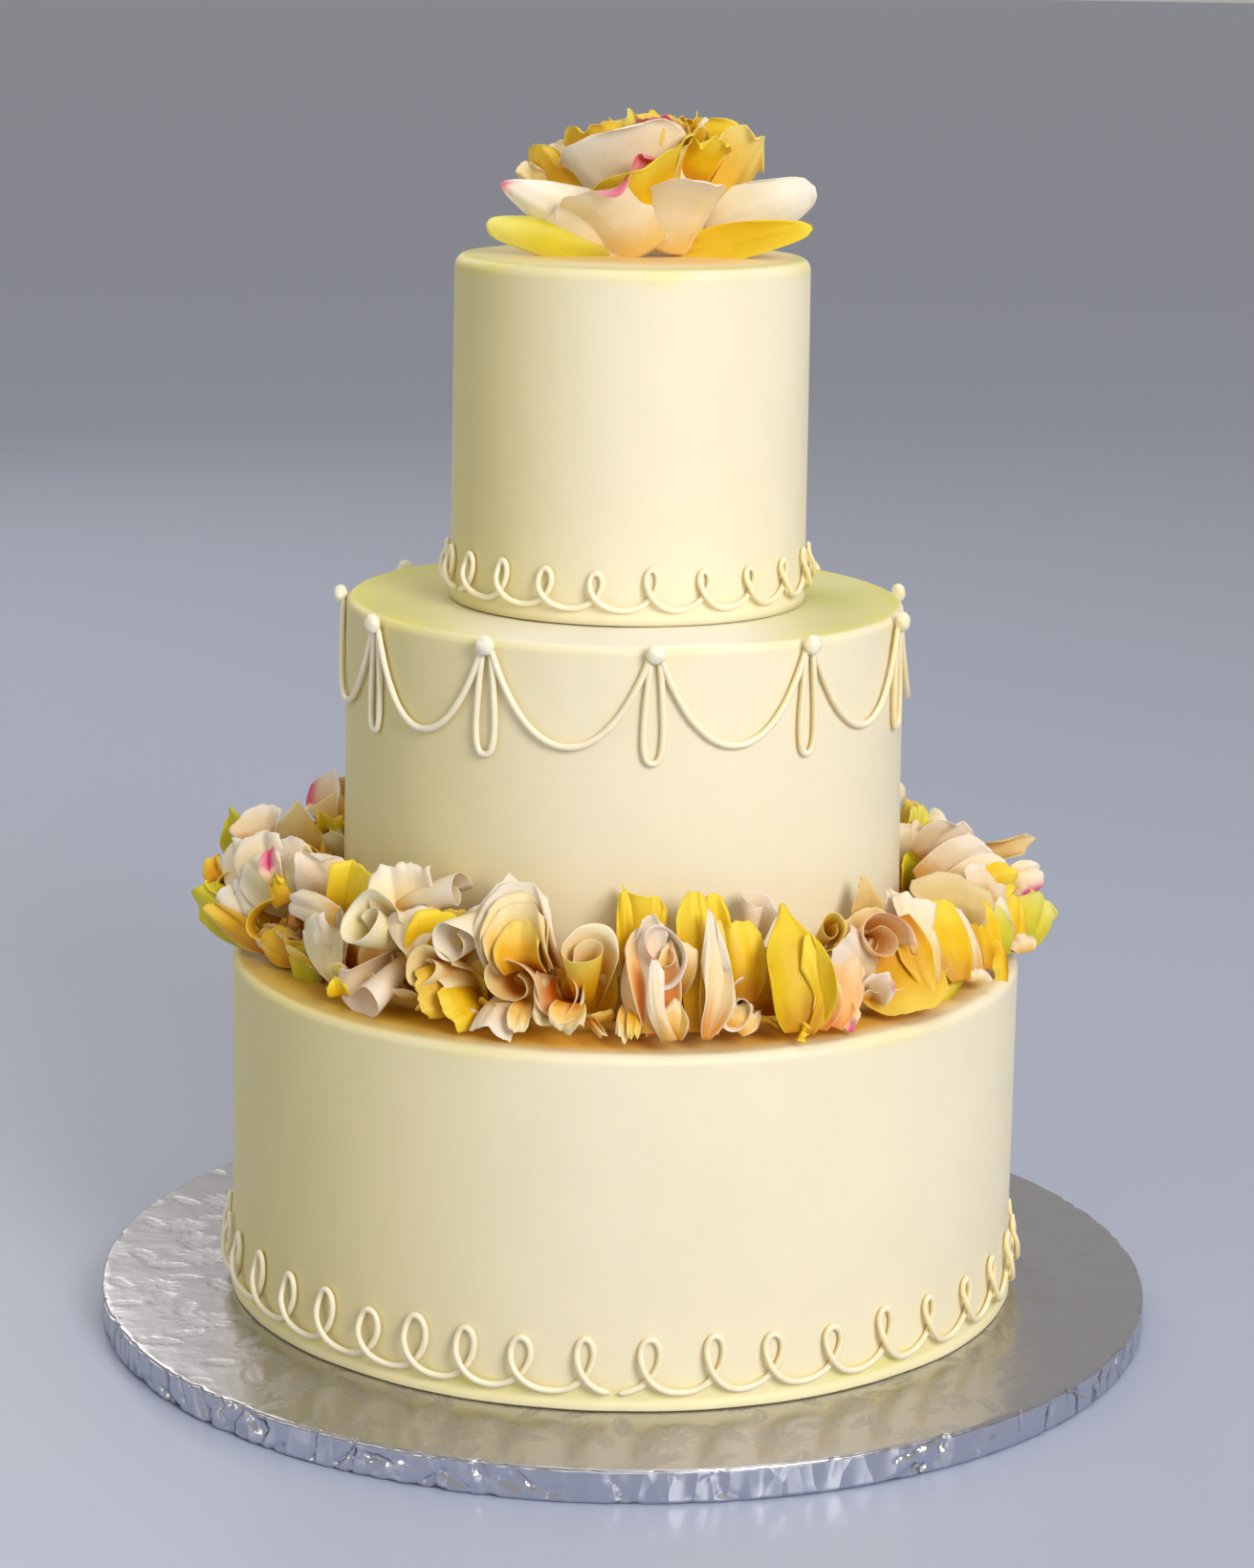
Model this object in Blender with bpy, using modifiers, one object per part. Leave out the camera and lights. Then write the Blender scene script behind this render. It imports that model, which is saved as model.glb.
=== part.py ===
# Wedding cake: three round iced tiers on a foil board, a piped scroll round the lowest and the
# highest tier, a garland of swags round the middle one, a ring of rolled and folded petals on the
# lowest ledge, and one open rose on top.
# Metres, +Z up. The front of the cake faces -Y and the board rests on z = 0.
# An azimuth is in degrees, 0 at the front and growing toward +X.

import bpy
import bmesh
import numpy as np

mm = 0.001
clearance = 0.3 * mm  # space left between pieces that touch

# Board and tiers: radius at the foot, radius at the top, height of the top, sideways offset
boardRadius = 203.2 * mm
boardHeight = 13.0 * mm
boardEdge = 1.2 * mm
tiers = {
    "tier_bottom": dict(foot=151.4 * mm, top=150.9 * mm, level=143.5 * mm, shift=-1.1 * mm, rim=4.0 * mm),
    "tier_middle": dict(foot=106.8 * mm, top=105.0 * mm, level=278.8 * mm, shift=-2.9 * mm, rim=3.4 * mm),
    "tier_top": dict(foot=66.9 * mm, top=65.9 * mm, level=406.5 * mm, shift=-2.5 * mm, rim=4.5 * mm),
}
lipHeight = 4.0 * mm  # the icing turns outward a little where the lowest tier meets the board
lipDepth = 0.9 * mm

# Piped scrolls: one thread that loops like a row of written letters e
scrolls = {
    "scroll_bottom": dict(
        tier="tier_bottom", base=19.9 * mm, height=20.0 * mm, swing=8.2 * mm, thread=1.2 * mm,
        loops=42, seam=4.3, seen=[-71.5, -61.5, -52.6, -44.2, -36.0, -28.3, -20.8, -13.0, -4.3, 4.3, 13.0,
                                  21.2, 30.2, 39.0, 47.8, 57.2, 66.3, 75.5, 84.2]),
    "scroll_top": dict(
        tier="tier_top", base=284.8 * mm, height=14.4 * mm, swing=6.3 * mm, thread=1.1 * mm,
        loops=22, seam=-58.5, seen=[-58.5, -41.8, -25.7, -9.4, 7.6, 24.2, 41.0, 57.4, 74.2]),
}

# Garland of the middle tier: beads under the rim, a drop loop below each, a swag between two
beadAzimuths = [-92.0, -58.0, -27.2, 5.9, 38.2, 71.0, 104.5, 137.0, 169.5, -158.0, -126.0]
beadHeight = 276.8 * mm
beadRadius = 3.7 * mm
beadDepth = 2.7 * mm
swagDrop = 33.5 * mm
dropLength = 39.5 * mm
dropWidth = 4.2 * mm
garlandThread = 1.35 * mm

petalThickness = 0.9 * mm

# One ring petal is a sheet swept round the line from its foot to its mouth. Both ends are
# (azimuth, radius, height), radii are those of the roll at both ends, all in millimetres; turn is
# the angle that the sheet covers in degrees, coil how far the inner edge winds inward, spin where
# the open side faces, tip how much the far edge is rounded off, bend the backward curve.
ringPetals = [
    dict(name="petal_yellow_tall_left", foot=(-59, 121.5, 146), mouth=(-62, 120, 184), radii=(7, 8),
         turn=210, spin=-20, tip=0.1),
    dict(name="roll_ivory_left", foot=(-42, 119, 165), mouth=(-43, 140, 180), radii=(3.5, 12), turn=440,
         coil=0.5, spin=150),
    dict(name="roll_blush_left", foot=(-35, 129, 153), mouth=(-44, 144, 153.5), radii=(6.5, 9), turn=300,
         spin=70),
    dict(name="petal_cream_back", foot=(-47, 124, 174), mouth=(-46, 124, 199), radii=(11, 12), turn=90,
         spin=0, tip=0.25),
    dict(name="roll_white_back", foot=(-38, 115, 184), mouth=(-29, 118, 191), radii=(3, 7), turn=330,
         spin=200),
    dict(name="roll_amber", foot=(-27, 118, 158), mouth=(-31, 144, 166), radii=(3, 8), turn=390, coil=0.3,
         spin=120),
    dict(name="roll_white_wide", foot=(-24, 113, 181), mouth=(-28.5, 143, 180), radii=(4.5, 7.5), turn=350,
         coil=0.2, spin=100),
    dict(name="fan_cream", foot=(-16, 112, 175), mouth=(-16, 136, 180), radii=(10, 15.5), turn=185, spin=0,
         tip=0.1),
    dict(name="roll_cream_spiral", foot=(-15, 116, 160), mouth=(-17, 145, 166), radii=(3, 9.3), turn=420,
         coil=0.45, spin=60),
    dict(name="roll_red_throat", foot=(-8.5, 119, 152), mouth=(-9.8, 146, 156), radii=(4, 8), turn=300,
         spin=200, tip=0.1),
    dict(name="roll_rose_spiral", foot=(-3.5, 117, 155), mouth=(-4.6, 141, 183), radii=(2.6, 11.5), turn=500,
         coil=0.5, spin=140),
    dict(name="petal_yellow_curl", foot=(2, 115, 146), mouth=(2, 115, 196), radii=(7, 7), turn=220,
         spin=20, tip=0.12),
    dict(name="petal_white_ribbon", foot=(2.5, 138, 147), mouth=(1.2, 129, 186), radii=(5, 6), turn=170,
         spin=-60, tip=0.15),
    dict(name="roll_blush_tip", foot=(8, 119, 164), mouth=(7.6, 141, 181), radii=(3, 9.5), turn=400,
         coil=0.4, spin=20),
    dict(name="petal_yellow_tall", foot=(14, 115, 146), mouth=(13.5, 115, 193), radii=(6, 7.5), turn=200,
         spin=35, tip=0.25),
    dict(name="petal_white_boat", foot=(10.5, 146, 147), mouth=(13, 133, 187), radii=(4, 5), turn=190,
         spin=-70, tip=0.35),
    dict(name="roll_white_low", foot=(17.5, 125, 154), mouth=(17, 145, 154), radii=(4, 7.5), turn=340,
         coil=0.3, spin=160),
    dict(name="petal_yellow_cup", foot=(19, 116, 147), mouth=(19, 117, 180), radii=(5.5, 7), turn=200,
         spin=170, tip=0.15),
    dict(name="roll_blush_top", foot=(22, 114, 183), mouth=(23, 115, 197), radii=(3.2, 5), turn=330,
         spin=40),
    dict(name="petal_yellow_wide", foot=(27, 136, 147), mouth=(28, 126, 186), radii=(9, 12), turn=180,
         spin=-25, tip=0.3),
    dict(name="roll_small_spiral", foot=(38, 117, 172), mouth=(34.5, 133, 185), radii=(2.2, 4.8), turn=520,
         coil=0.55, spin=30),
    dict(name="petal_peach_low", foot=(36.5, 146, 146), mouth=(35, 140, 166), radii=(5, 6), turn=160,
         spin=10, tip=0.3),
    dict(name="petal_peach_fold", foot=(37, 124, 170), mouth=(37, 141, 153), radii=(6, 7), turn=150,
         spin=180, tip=0.3),
    dict(name="roll_peach_spiral", foot=(46, 115, 168), mouth=(41, 139, 178), radii=(3, 10), turn=430,
         coil=0.45, spin=100),
    dict(name="petal_golden_wide", foot=(50, 118, 154), mouth=(46, 143, 154), radii=(8, 12), turn=160,
         spin=0, tip=0.25),
    dict(name="petal_cream_fold", foot=(56, 122, 158), mouth=(57, 122, 184), radii=(5, 7), turn=230,
         spin=-40, tip=0.3),
    dict(name="petal_yellow_right", foot=(61, 142, 147), mouth=(65, 128, 178), radii=(6.5, 8.5), turn=180,
         spin=180, tip=0.25),
    dict(name="petal_yellow_far_right", foot=(72, 142, 147), mouth=(76, 127, 176), radii=(8, 10), turn=180,
         spin=180, tip=0.25),
    dict(name="petal_tan_hood", foot=(70, 113, 176), mouth=(74, 134, 190), radii=(8, 11), turn=160, spin=0,
         tip=0.3),
    dict(name="petal_yellow_round_right", foot=(87, 142, 147), mouth=(89, 136, 176), radii=(8, 11),
         turn=150, spin=180, tip=0.4),
    dict(name="roll_yellow_left", foot=(-77, 120, 160), mouth=(-70, 143, 173), radii=(3.5, 9), turn=350,
         coil=0.3, spin=90),
    dict(name="petal_white_left", foot=(-52, 139, 147), mouth=(-55, 135, 180), radii=(8, 10), turn=170,
         spin=190, tip=0.3),
    dict(name="roll_yellow_small", foot=(-92, 121, 162), mouth=(-89, 143, 172), radii=(3, 7), turn=420,
         coil=0.45, spin=30),
    dict(name="petal_blush_point", foot=(-83, 124, 176), mouth=(-84, 134, 200), radii=(8, 11), turn=130,
         spin=180, tip=0.45),
]

# Petals of the far half, which no camera in front sees: two kinds in turn, evenly spaced
hiddenPetals = 7
hiddenSpan = (98.0, 260.0)

# Rose: the same kind of sheet, placed from the middle of the rose on the highest tier. All but the
# heart turn their open side inward.
rosePlace = (7.4, 0.0)
rosePetals = [
    dict(name="rose_front_left", foot=(-18, 4, 3), mouth=(-18, 29, 27), radii=(9, 24), turn=105, bend=55,
         tip=0.15),
    dict(name="rose_front_right", foot=(41, 10, 3), mouth=(41, 35, 28), radii=(9, 19), turn=85, bend=55,
         tip=0.2),
    dict(name="rose_left", foot=(-72, 17, 5), mouth=(-76, 60, 29), radii=(8, 20), turn=85, bend=25,
         spin=205, tip=0.5),
    dict(name="rose_left_low", foot=(-106, 20, 2), mouth=(-103, 61, 9), radii=(7, 15), turn=80, bend=15,
         tip=0.5),
    dict(name="rose_right", foot=(84, 24, 9), mouth=(80, 61, 26), radii=(9, 21), turn=75, bend=20,
         spin=150, tip=0.4),
    dict(name="rose_right_low", foot=(78, 20, 3), mouth=(80, 61, 9), radii=(7, 15), turn=80, bend=10,
         tip=0.5),
    dict(name="rose_back", foot=(172, 8, 4), mouth=(172, 40, 36), radii=(9, 22), turn=105, bend=35,
         tip=0.25),
    dict(name="rose_back_left", foot=(-125, 9, 8), mouth=(-122, 42, 42), radii=(8, 16), turn=80, bend=25,
         tip=0.3),
    dict(name="rose_right_tall", foot=(98, 15, 12), mouth=(88, 40, 50), radii=(8, 18), turn=85, bend=25,
         tip=0.3),
    dict(name="rose_inner_cream", foot=(-40, 4, 12), mouth=(-44, 27, 45), radii=(7, 21), turn=105,
         bend=30, tip=0.2),
    dict(name="rose_inner_yellow", foot=(20, 6, 9), mouth=(14, 27, 38), radii=(8, 20), turn=100, bend=35,
         tip=0.2),
    dict(name="rose_heart", foot=(0, 0, 16), mouth=(-60, 4, 52), radii=(3.5, 17), turn=520, coil=0.6),
]

# Colours of the pieces
colours = {
    "foil": (0.62, 0.63, 0.66), "icing": (0.90, 0.85, 0.68), "piping": (0.95, 0.91, 0.80),
    "yellow": (0.93, 0.75, 0.12), "cream": (0.95, 0.88, 0.70), "peach": (0.95, 0.72, 0.50),
}


def clearScene():
    for thing in list(bpy.data.objects):
        bpy.data.objects.remove(thing, do_unlink=True)
    cake = bpy.data.collections.new("wedding_cake")
    bpy.context.scene.collection.children.link(cake)
    return cake


def material(name, colour, metallic=0.0, roughness=0.5):
    made = bpy.data.materials.new(name)
    made.use_nodes = True
    shader = made.node_tree.nodes["Principled BSDF"]
    shader.inputs["Base Color"].default_value = (*colour, 1.0)
    shader.inputs["Metallic"].default_value = metallic
    shader.inputs["Roughness"].default_value = roughness
    return made


def addMesh(cake, name, points, faces, finish, smooth=True):
    mesh = bpy.data.meshes.new(name)
    mesh.from_pydata([tuple(p) for p in points], [], [tuple(int(i) for i in f) for f in faces])
    mesh.materials.append(finish)
    mesh.update()
    if smooth:
        mesh.shade_smooth()
    made = bpy.data.objects.new(name, mesh)
    cake.objects.link(made)
    return made


def addLathe(cake, name, profile, steps, finish, shift=0.0):
    # profile of (radius, height) pairs from the axis at the top to the axis at the bottom
    mesh = bpy.data.meshes.new(name)
    mesh.from_pydata([(r, 0.0, z) for r, z in profile], [(i, i + 1) for i in range(len(profile) - 1)], [])
    mesh.materials.append(finish)
    made = bpy.data.objects.new(name, mesh)
    made.location = (shift, 0.0, 0.0)
    cake.objects.link(made)
    turn = made.modifiers.new("Turn", "SCREW")
    turn.axis = "Z"
    turn.angle = 2 * np.pi
    turn.steps = turn.render_steps = steps
    turn.use_merge_vertices = True
    turn.merge_threshold = 0.0001
    turn.use_smooth_shade = True
    return made


def addBoard(cake, finish):
    edge = boardEdge
    profile = [(0.0, boardHeight), (boardRadius - edge, boardHeight), (boardRadius, boardHeight - edge),
               (boardRadius, edge), (boardRadius - edge, 0.0), (0.0, 0.0)]
    addLathe(cake, "board", profile, 64, finish)


def addTiers(cake, finish):
    # each side is straight, with a rim rounded in two steps; a tier starts a clearance above what
    # carries it
    below = boardHeight
    for name, tier in tiers.items():
        start, rim = below + clearance, tier["rim"]
        profile = [(0.0, tier["level"])]
        for angle in np.radians([90.0, 60.0, 30.0, 0.0]):
            inward, down = rim * (1 - np.cos(angle)), rim * (1 - np.sin(angle))
            profile.append((tier["top"] - inward, tier["level"] - down))
        if name == "tier_bottom":
            profile += [(tier["foot"], start + lipHeight), (tier["foot"] + lipDepth, start + 0.4 * lipHeight)]
            profile += [(tier["foot"] + lipDepth, start)]
        else:
            profile += [(tier["foot"], start)]
        profile += [(0.0, start)]
        addLathe(cake, name, profile, 60 if name == "tier_bottom" else 48, finish, tier["shift"])
        below = tier["level"]


def wallRadius(tier, height, below):
    # the side of a tier leans inward evenly from its foot to its top
    share = (height - below) / (tier["level"] - below)
    return tier["foot"] + (tier["top"] - tier["foot"]) * share


def sweptThread(path, radius):
    # a thread of three sides along path, rows of (along the wall, height, depth from the wall):
    # the flat side lies on the wall and both ends are closed
    ahead = np.gradient(path[:, :2], axis=0)
    ahead /= np.linalg.norm(ahead, axis=1)[:, None]
    aside = np.stack([-ahead[:, 1], ahead[:, 0]], 1)
    rows = []
    for angle in np.radians([90.0, 210.0, 330.0]):
        rows.append(np.column_stack([path[:, :2] + radius * np.cos(angle) * aside,
                                     path[:, 2] + radius * np.sin(angle)]))
    points = np.stack(rows, 1).reshape(-1, 3)
    count = len(path)
    faces = []
    for i in range(count - 1):
        for k in range(3):
            a, b = 3 * i + k, 3 * i + (k + 1) % 3
            faces.append((a, b, b + 3, a + 3))
    faces += [(2, 1, 0), (3 * count - 3, 3 * count - 2, 3 * count - 1)]
    return points, faces


def onWall(points, tier, below):
    # (arc length, height, depth) to x, y, z: the arc length is measured at the foot's radius
    azimuth = points[:, 0] / tier["foot"]
    radius = wallRadius(tier, points[:, 1], below) + points[:, 2]
    x, y = radius * np.sin(azimuth) + tier["shift"], -radius * np.cos(azimuth)
    return np.column_stack([x, y, points[:, 1]])


def outward(made):
    # faces point outward on every shell
    work = bmesh.new()
    work.from_mesh(made.data)
    bmesh.ops.recalc_face_normals(work, faces=work.faces)
    work.to_mesh(made.data)
    work.free()
    return made


def loopAzimuths(scroll):
    # the loops that the front shows stand where they were piped; the rest share the arc between
    seen = scroll["seen"]
    rest = scroll["loops"] - len(seen)
    step = (seen[0] + 360.0 - seen[-1]) / (rest + 1)
    return np.array(seen + [seen[-1] + step * (i + 1) for i in range(rest)])


def addScroll(cake, name, finish):
    # with t from -pi to pi over one loop and pitch the distance between two loops:
    # along = centre + pitch t / 2 pi - swing sin t, height = base + h (1 + cos t) / 2
    # past the top the thread lies over itself, so it stands off there by its own thickness
    scroll = scrolls[name]
    tier = tiers[scroll["tier"]]
    below = boardHeight if scroll["tier"] == "tier_bottom" else tiers["tier_middle"]["level"]
    centres = np.radians(loopAzimuths(scroll)) * tier["foot"]
    around = 2 * np.pi * tier["foot"]
    draw = np.random.default_rng(7)
    first = int(np.argmin(abs(np.array(scroll["seen"]) - scroll["seam"])))
    order = [(first + i) % len(centres) for i in range(len(centres))]
    even = np.linspace(-np.pi, np.pi, 10)[:-1]
    rows = []
    for i in order:
        lap = around if i < first else 0.0
        centre = centres[i] + lap
        later = centres[(i + 1) % len(centres)] + (around if (i + 1) % len(centres) <= first else 0.0)
        pitch = later - centre if i != order[-1] else around / len(centres)
        t = even - 0.28 * np.sin(even)
        tall = scroll["height"] * draw.uniform(0.93, 1.07)
        swing = scroll["swing"] * draw.uniform(0.93, 1.05)
        along = centre + pitch * t / (2 * np.pi) - swing * np.sin(t)
        height = scroll["base"] + tall * (1 + np.cos(t)) / 2
        over = 2.1 * scroll["thread"] * np.exp(-((t - 1.95) / 0.8) ** 4)
        rows.append(np.column_stack([along, height, clearance + 0.5 * scroll["thread"] + over]))
    path = np.concatenate(rows)
    points, faces = sweptThread(path, scroll["thread"])
    outward(addMesh(cake, name, onWall(points, tier, below), faces, finish))


def beadShell(centre):
    # a ball of six sides, flattened against the wall
    points, faces = [(centre[0], centre[1] + beadRadius, centre[2])], []
    for polar in np.radians([50.0, 90.0, 130.0]):
        for turn in np.radians(np.arange(0.0, 360.0, 60.0)):
            points.append((centre[0] + beadRadius * np.sin(polar) * np.cos(turn),
                           centre[1] + beadRadius * np.cos(polar),
                           centre[2] + beadDepth * np.sin(polar) * np.sin(turn)))
    points.append((centre[0], centre[1] - beadRadius, centre[2]))
    for k in range(6):
        j = (k + 1) % 6
        faces += [(0, 1 + k, 1 + j), (19, 13 + j, 13 + k)]
        faces += [(1 + 6 * row + k, 7 + 6 * row + k, 7 + 6 * row + j, 1 + 6 * row + j) for row in (0, 1)]
    return np.array(points), faces


def joinShells(shells):
    points, faces, count = [], [], 0
    for shellPoints, shellFaces in shells:
        points.append(shellPoints)
        faces += [tuple(i + count for i in face) for face in shellFaces]
        count += len(shellPoints)
    return np.concatenate(points), faces


def addGarland(cake, finish):
    # beads, drop loops and swags are three sets of separate shells, then joined to one body
    tier, below = tiers["tier_middle"], tiers["tier_bottom"]["level"]
    centres = np.sort(np.radians(beadAzimuths)) * tier["foot"]
    around = 2 * np.pi * tier["foot"]
    depth = clearance + beadDepth
    threadDepth = clearance + 0.5 * garlandThread
    beads, drops, swags = [], [], []
    for i, centre in enumerate(centres):
        beads.append(beadShell((centre, beadHeight, depth)))
        # drop: down one side and up the other, narrow at the bead and round at the bottom
        t = np.linspace(-1, 1, 9)
        wide = np.sin(np.minimum(abs(t) * 1.35, 1.0) * np.pi / 2) * (1 - 0.62 * t ** 4)
        fall = beadHeight - 1.2 * mm - (dropLength - 1.2 * mm) * (1 - abs(t) ** 2.6)
        path = np.column_stack([centre + dropWidth * np.sign(t) * wide, fall, np.full(9, threadDepth)])
        drops.append(sweptThread(path, garlandThread))
        # swag: a catenary from the side of one bead to the side of the next
        later = centres[(i + 1) % len(centres)] + (around if i + 1 == len(centres) else 0.0)
        s = np.linspace(-1, 1, 8)
        along = (centre + later) / 2 + s * ((later - centre) / 2 - 1.6 * mm)
        share = (np.cosh(1.6) - np.cosh(1.6 * s)) / (np.cosh(1.6) - 1)
        path = np.column_stack([along, beadHeight - 0.4 * mm - swagDrop * share,
                                np.full(8, threadDepth + 0.4 * mm)])
        swags.append(sweptThread(path, garlandThread))
    made = []
    for name, shells in (("garland", beads), ("drops", drops), ("swags", swags)):
        points, faces = joinShells(shells)
        made.append(outward(addMesh(cake, name, onWall(points, tier, below), faces, finish)))
    garland, operands = made[0], made[1:]
    helpers = bpy.data.collections.new("garland_cutters")
    bpy.context.scene.collection.children.link(helpers)
    for operand in operands:
        cake.objects.unlink(operand)
        helpers.objects.link(operand)
        operand.hide_render = True
        operand.display_type = "WIRE"
        join = garland.modifiers.new("Join", "BOOLEAN")
        join.operation = "UNION"
        join.solver = "EXACT"
        join.object = operand


def fromPolar(place):
    azimuth = np.radians(place[0])
    return np.array([place[1] * np.sin(azimuth), -place[1] * np.cos(azimuth), place[2]]) * mm


def sheetPoints(petal, length, across, along):
    # u runs -1 to 1 across the sheet and v 0 to 1 from foot to mouth:
    # radius = (foot + (mouth - foot) v^0.8) (1 - coil (1 - u) / 2), angle = turn u / 2
    # height = length v (1 - tip |u|^2.2). A bent sheet has its middle line on the line from foot
    # to mouth and is then bent to an arc that still ends there.
    u = np.linspace(-1, 1, across + 1)[:, None]
    v = np.linspace(0, 1, along + 1)[None, :]
    narrow, wide = petal["radii"][0] * mm, petal["radii"][1] * mm
    radius = (narrow + (wide - narrow) * v ** 0.8) * (1 - petal.get("coil", 0) * (1 - u) / 2)
    angle = np.radians(petal["turn"]) / 2 * u
    height = length * v * (1 - petal.get("tip", 0) * abs(u) ** 2.2)
    x, y = radius * np.sin(angle), radius * np.cos(angle)
    bend = np.radians(petal.get("bend", 0))
    if bend > 0:
        y = y - (narrow + (wide - narrow) * v ** 0.8)
        reach = length / (2 * np.sin(bend / 2))
        turned = bend * height / length - bend / 2
        y, height = (y + reach) * np.cos(turned) - reach * np.cos(bend / 2), (y + reach) * np.sin(turned)
        height = height + length / 2
    return np.stack(np.broadcast_arrays(x, y, height), -1)


def sheetPlaced(petal, points, foot, mouth, side):
    # the line from foot to mouth is the sheet's own z; side is the world direction nearest its x
    ahead = (mouth - foot) / np.linalg.norm(mouth - foot)
    aside = side - (side @ ahead) * ahead
    aside /= np.linalg.norm(aside)
    back = np.cross(ahead, aside)
    spin = np.radians(petal.get("spin", 0))
    right = np.cos(spin) * aside + np.sin(spin) * back
    behind = -np.sin(spin) * aside + np.cos(spin) * back
    return foot + points[..., :1] * right + points[..., 1:2] * behind + points[..., 2:] * ahead


def addSheet(cake, petal, foot, mouth, side, finish, along=3):
    across = max(4, int(round(petal["turn"] / 36.0)))
    grid = sheetPoints(petal, np.linalg.norm(mouth - foot), across, along)
    points = sheetPlaced(petal, grid, foot, mouth, side).reshape(-1, 3)
    i, j = np.meshgrid(np.arange(across), np.arange(along), indexing="ij")
    a = (i * (along + 1) + j).ravel()
    b, c, d = a + along + 1, a + along + 2, a + 1
    faces = np.concatenate([np.stack([a, b, c], 1), np.stack([a, c, d], 1)])
    made = addMesh(cake, petal["name"], points, faces, finish)
    thick = made.modifiers.new("Thickness", "SOLIDIFY")
    thick.thickness = petalThickness
    thick.offset = 0.0
    return made


def hiddenRing():
    # two kinds in turn: a roll with its mouth outward, and a cup that stands
    draw = np.random.default_rng(11)
    step = (hiddenSpan[1] - hiddenSpan[0]) / hiddenPetals
    made = []
    for i in range(hiddenPetals):
        azimuth = hiddenSpan[0] + step * (i + 0.5)
        nod = draw.uniform(-2, 2)
        if i % 2 == 0:
            made.append(dict(name=f"roll_rear_{i + 1:02d}", foot=(azimuth, 118, 158),
                             mouth=(azimuth + nod, 141, 174 + nod), radii=(3.5, 9.5 + nod / 3),
                             turn=400, coil=0.4, spin=draw.uniform(0, 360)))
        else:
            made.append(dict(name=f"petal_rear_{i + 1:02d}", foot=(azimuth, 132, 147),
                             mouth=(azimuth + nod, 124, 184 + nod), radii=(8, 10), turn=190,
                             spin=draw.choice([0.0, 180.0]), tip=0.25))
    return made


def build():
    cake = clearScene()
    foil = material("foil", colours["foil"], metallic=1.0, roughness=0.3)
    icing = material("icing", colours["icing"], roughness=0.45)
    piping = material("piping", colours["piping"], roughness=0.4)
    finishes = {key: material("petal_" + key, colours[key]) for key in ("yellow", "cream", "peach")}

    def petalFinish(name):
        if "yellow" in name or "golden" in name:
            return finishes["yellow"]
        return finishes["peach" if "peach" in name else "cream"]

    addBoard(cake, foil)
    addTiers(cake, icing)
    for name in scrolls:
        addScroll(cake, name, piping)
    addGarland(cake, piping)
    for petal in ringPetals + hiddenRing():
        azimuth = np.radians(petal["foot"][0])
        side = np.array([np.cos(azimuth), np.sin(azimuth), 0.0])
        addSheet(cake, petal, fromPolar(petal["foot"]), fromPolar(petal["mouth"]), side,
                 petalFinish(petal["name"]), along=2 if petal["turn"] > 250 else 3)
    highest = tiers["tier_top"]
    top = np.array([highest["shift"] + rosePlace[0] * mm, rosePlace[1] * mm, highest["level"]])
    for petal in rosePetals:
        petal["spin"] = petal.get("spin", 180)
        azimuth = np.radians(petal["mouth"][0])
        side = np.array([np.cos(azimuth), np.sin(azimuth), 0.0])
        addSheet(cake, petal, top + fromPolar(petal["foot"]), top + fromPolar(petal["mouth"]), side,
                 petalFinish(petal["name"]))


build()
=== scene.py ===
import bpy
import math
import numpy as np
from mathutils import Matrix


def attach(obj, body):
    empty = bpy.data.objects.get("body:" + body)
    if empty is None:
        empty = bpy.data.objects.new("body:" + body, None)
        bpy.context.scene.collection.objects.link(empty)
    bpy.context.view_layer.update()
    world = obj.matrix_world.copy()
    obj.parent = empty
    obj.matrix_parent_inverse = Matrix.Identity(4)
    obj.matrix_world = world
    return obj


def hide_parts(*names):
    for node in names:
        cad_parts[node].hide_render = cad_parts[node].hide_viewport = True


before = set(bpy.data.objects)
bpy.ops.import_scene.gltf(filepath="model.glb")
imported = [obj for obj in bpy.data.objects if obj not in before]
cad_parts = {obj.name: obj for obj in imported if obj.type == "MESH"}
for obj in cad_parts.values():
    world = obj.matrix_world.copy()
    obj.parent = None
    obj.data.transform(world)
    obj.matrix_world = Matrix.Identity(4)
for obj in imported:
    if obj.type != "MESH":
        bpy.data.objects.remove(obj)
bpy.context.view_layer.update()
mm = 0.001
gap = 0.3 * mm  # between pieces that touch
print("frame loaded")


# Colours: written as in a paint program, six hex digits, and turned into light values
def paint(code):
    # value = ((c + 0.055) / 1.055)^2.4, or c / 12.92 for the darkest
    c = np.array([int(code[i:i + 2], 16) for i in (0, 2, 4)]) / 255
    return np.where(c > 0.04045, ((c + 0.055) / 1.055) ** 2.4, c / 12.92)


def ease(x, low, high):
    # 0 below low, 1 above high, 3 t^2 - 2 t^3 between
    t = np.clip((x - low) / (high - low), 0, 1)
    return t * t * (3 - 2 * t)


def blendTone(a, b, share):
    # a (1 - share) + b share, for a colour field
    return a + (b - a) * np.asarray(share)[..., None]


def gentleNoise(seed, *coordinates, waves=4, lowest=1.0, growth=1.7):
    # sum of waves sines of growing frequency and falling height, along random directions
    draw = np.random.default_rng(seed)
    total, size, frequency = 0.0, 1.0, lowest
    for _ in range(waves):
        push = draw.normal(size=len(coordinates))
        push /= np.linalg.norm(push)
        along = sum(p * c for p, c in zip(push, coordinates))
        total = total + size * np.sin(frequency * along + draw.uniform(0, 6.28))
        frequency, size = frequency * growth, size / growth
    return total / 1.8


# Meshes
def gridQuads(rows, columns, closedColumns=False):
    # the four corners of each cell of a grid of points numbered row by row
    i, j = np.meshgrid(np.arange(rows - 1), np.arange(columns if closedColumns else columns - 1), indexing="ij")
    k = (j + 1) % columns
    here, below = i * columns, (i + 1) * columns
    return np.stack([here + j, here + k, below + k, below + j], -1).reshape(-1, 4)


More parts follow.
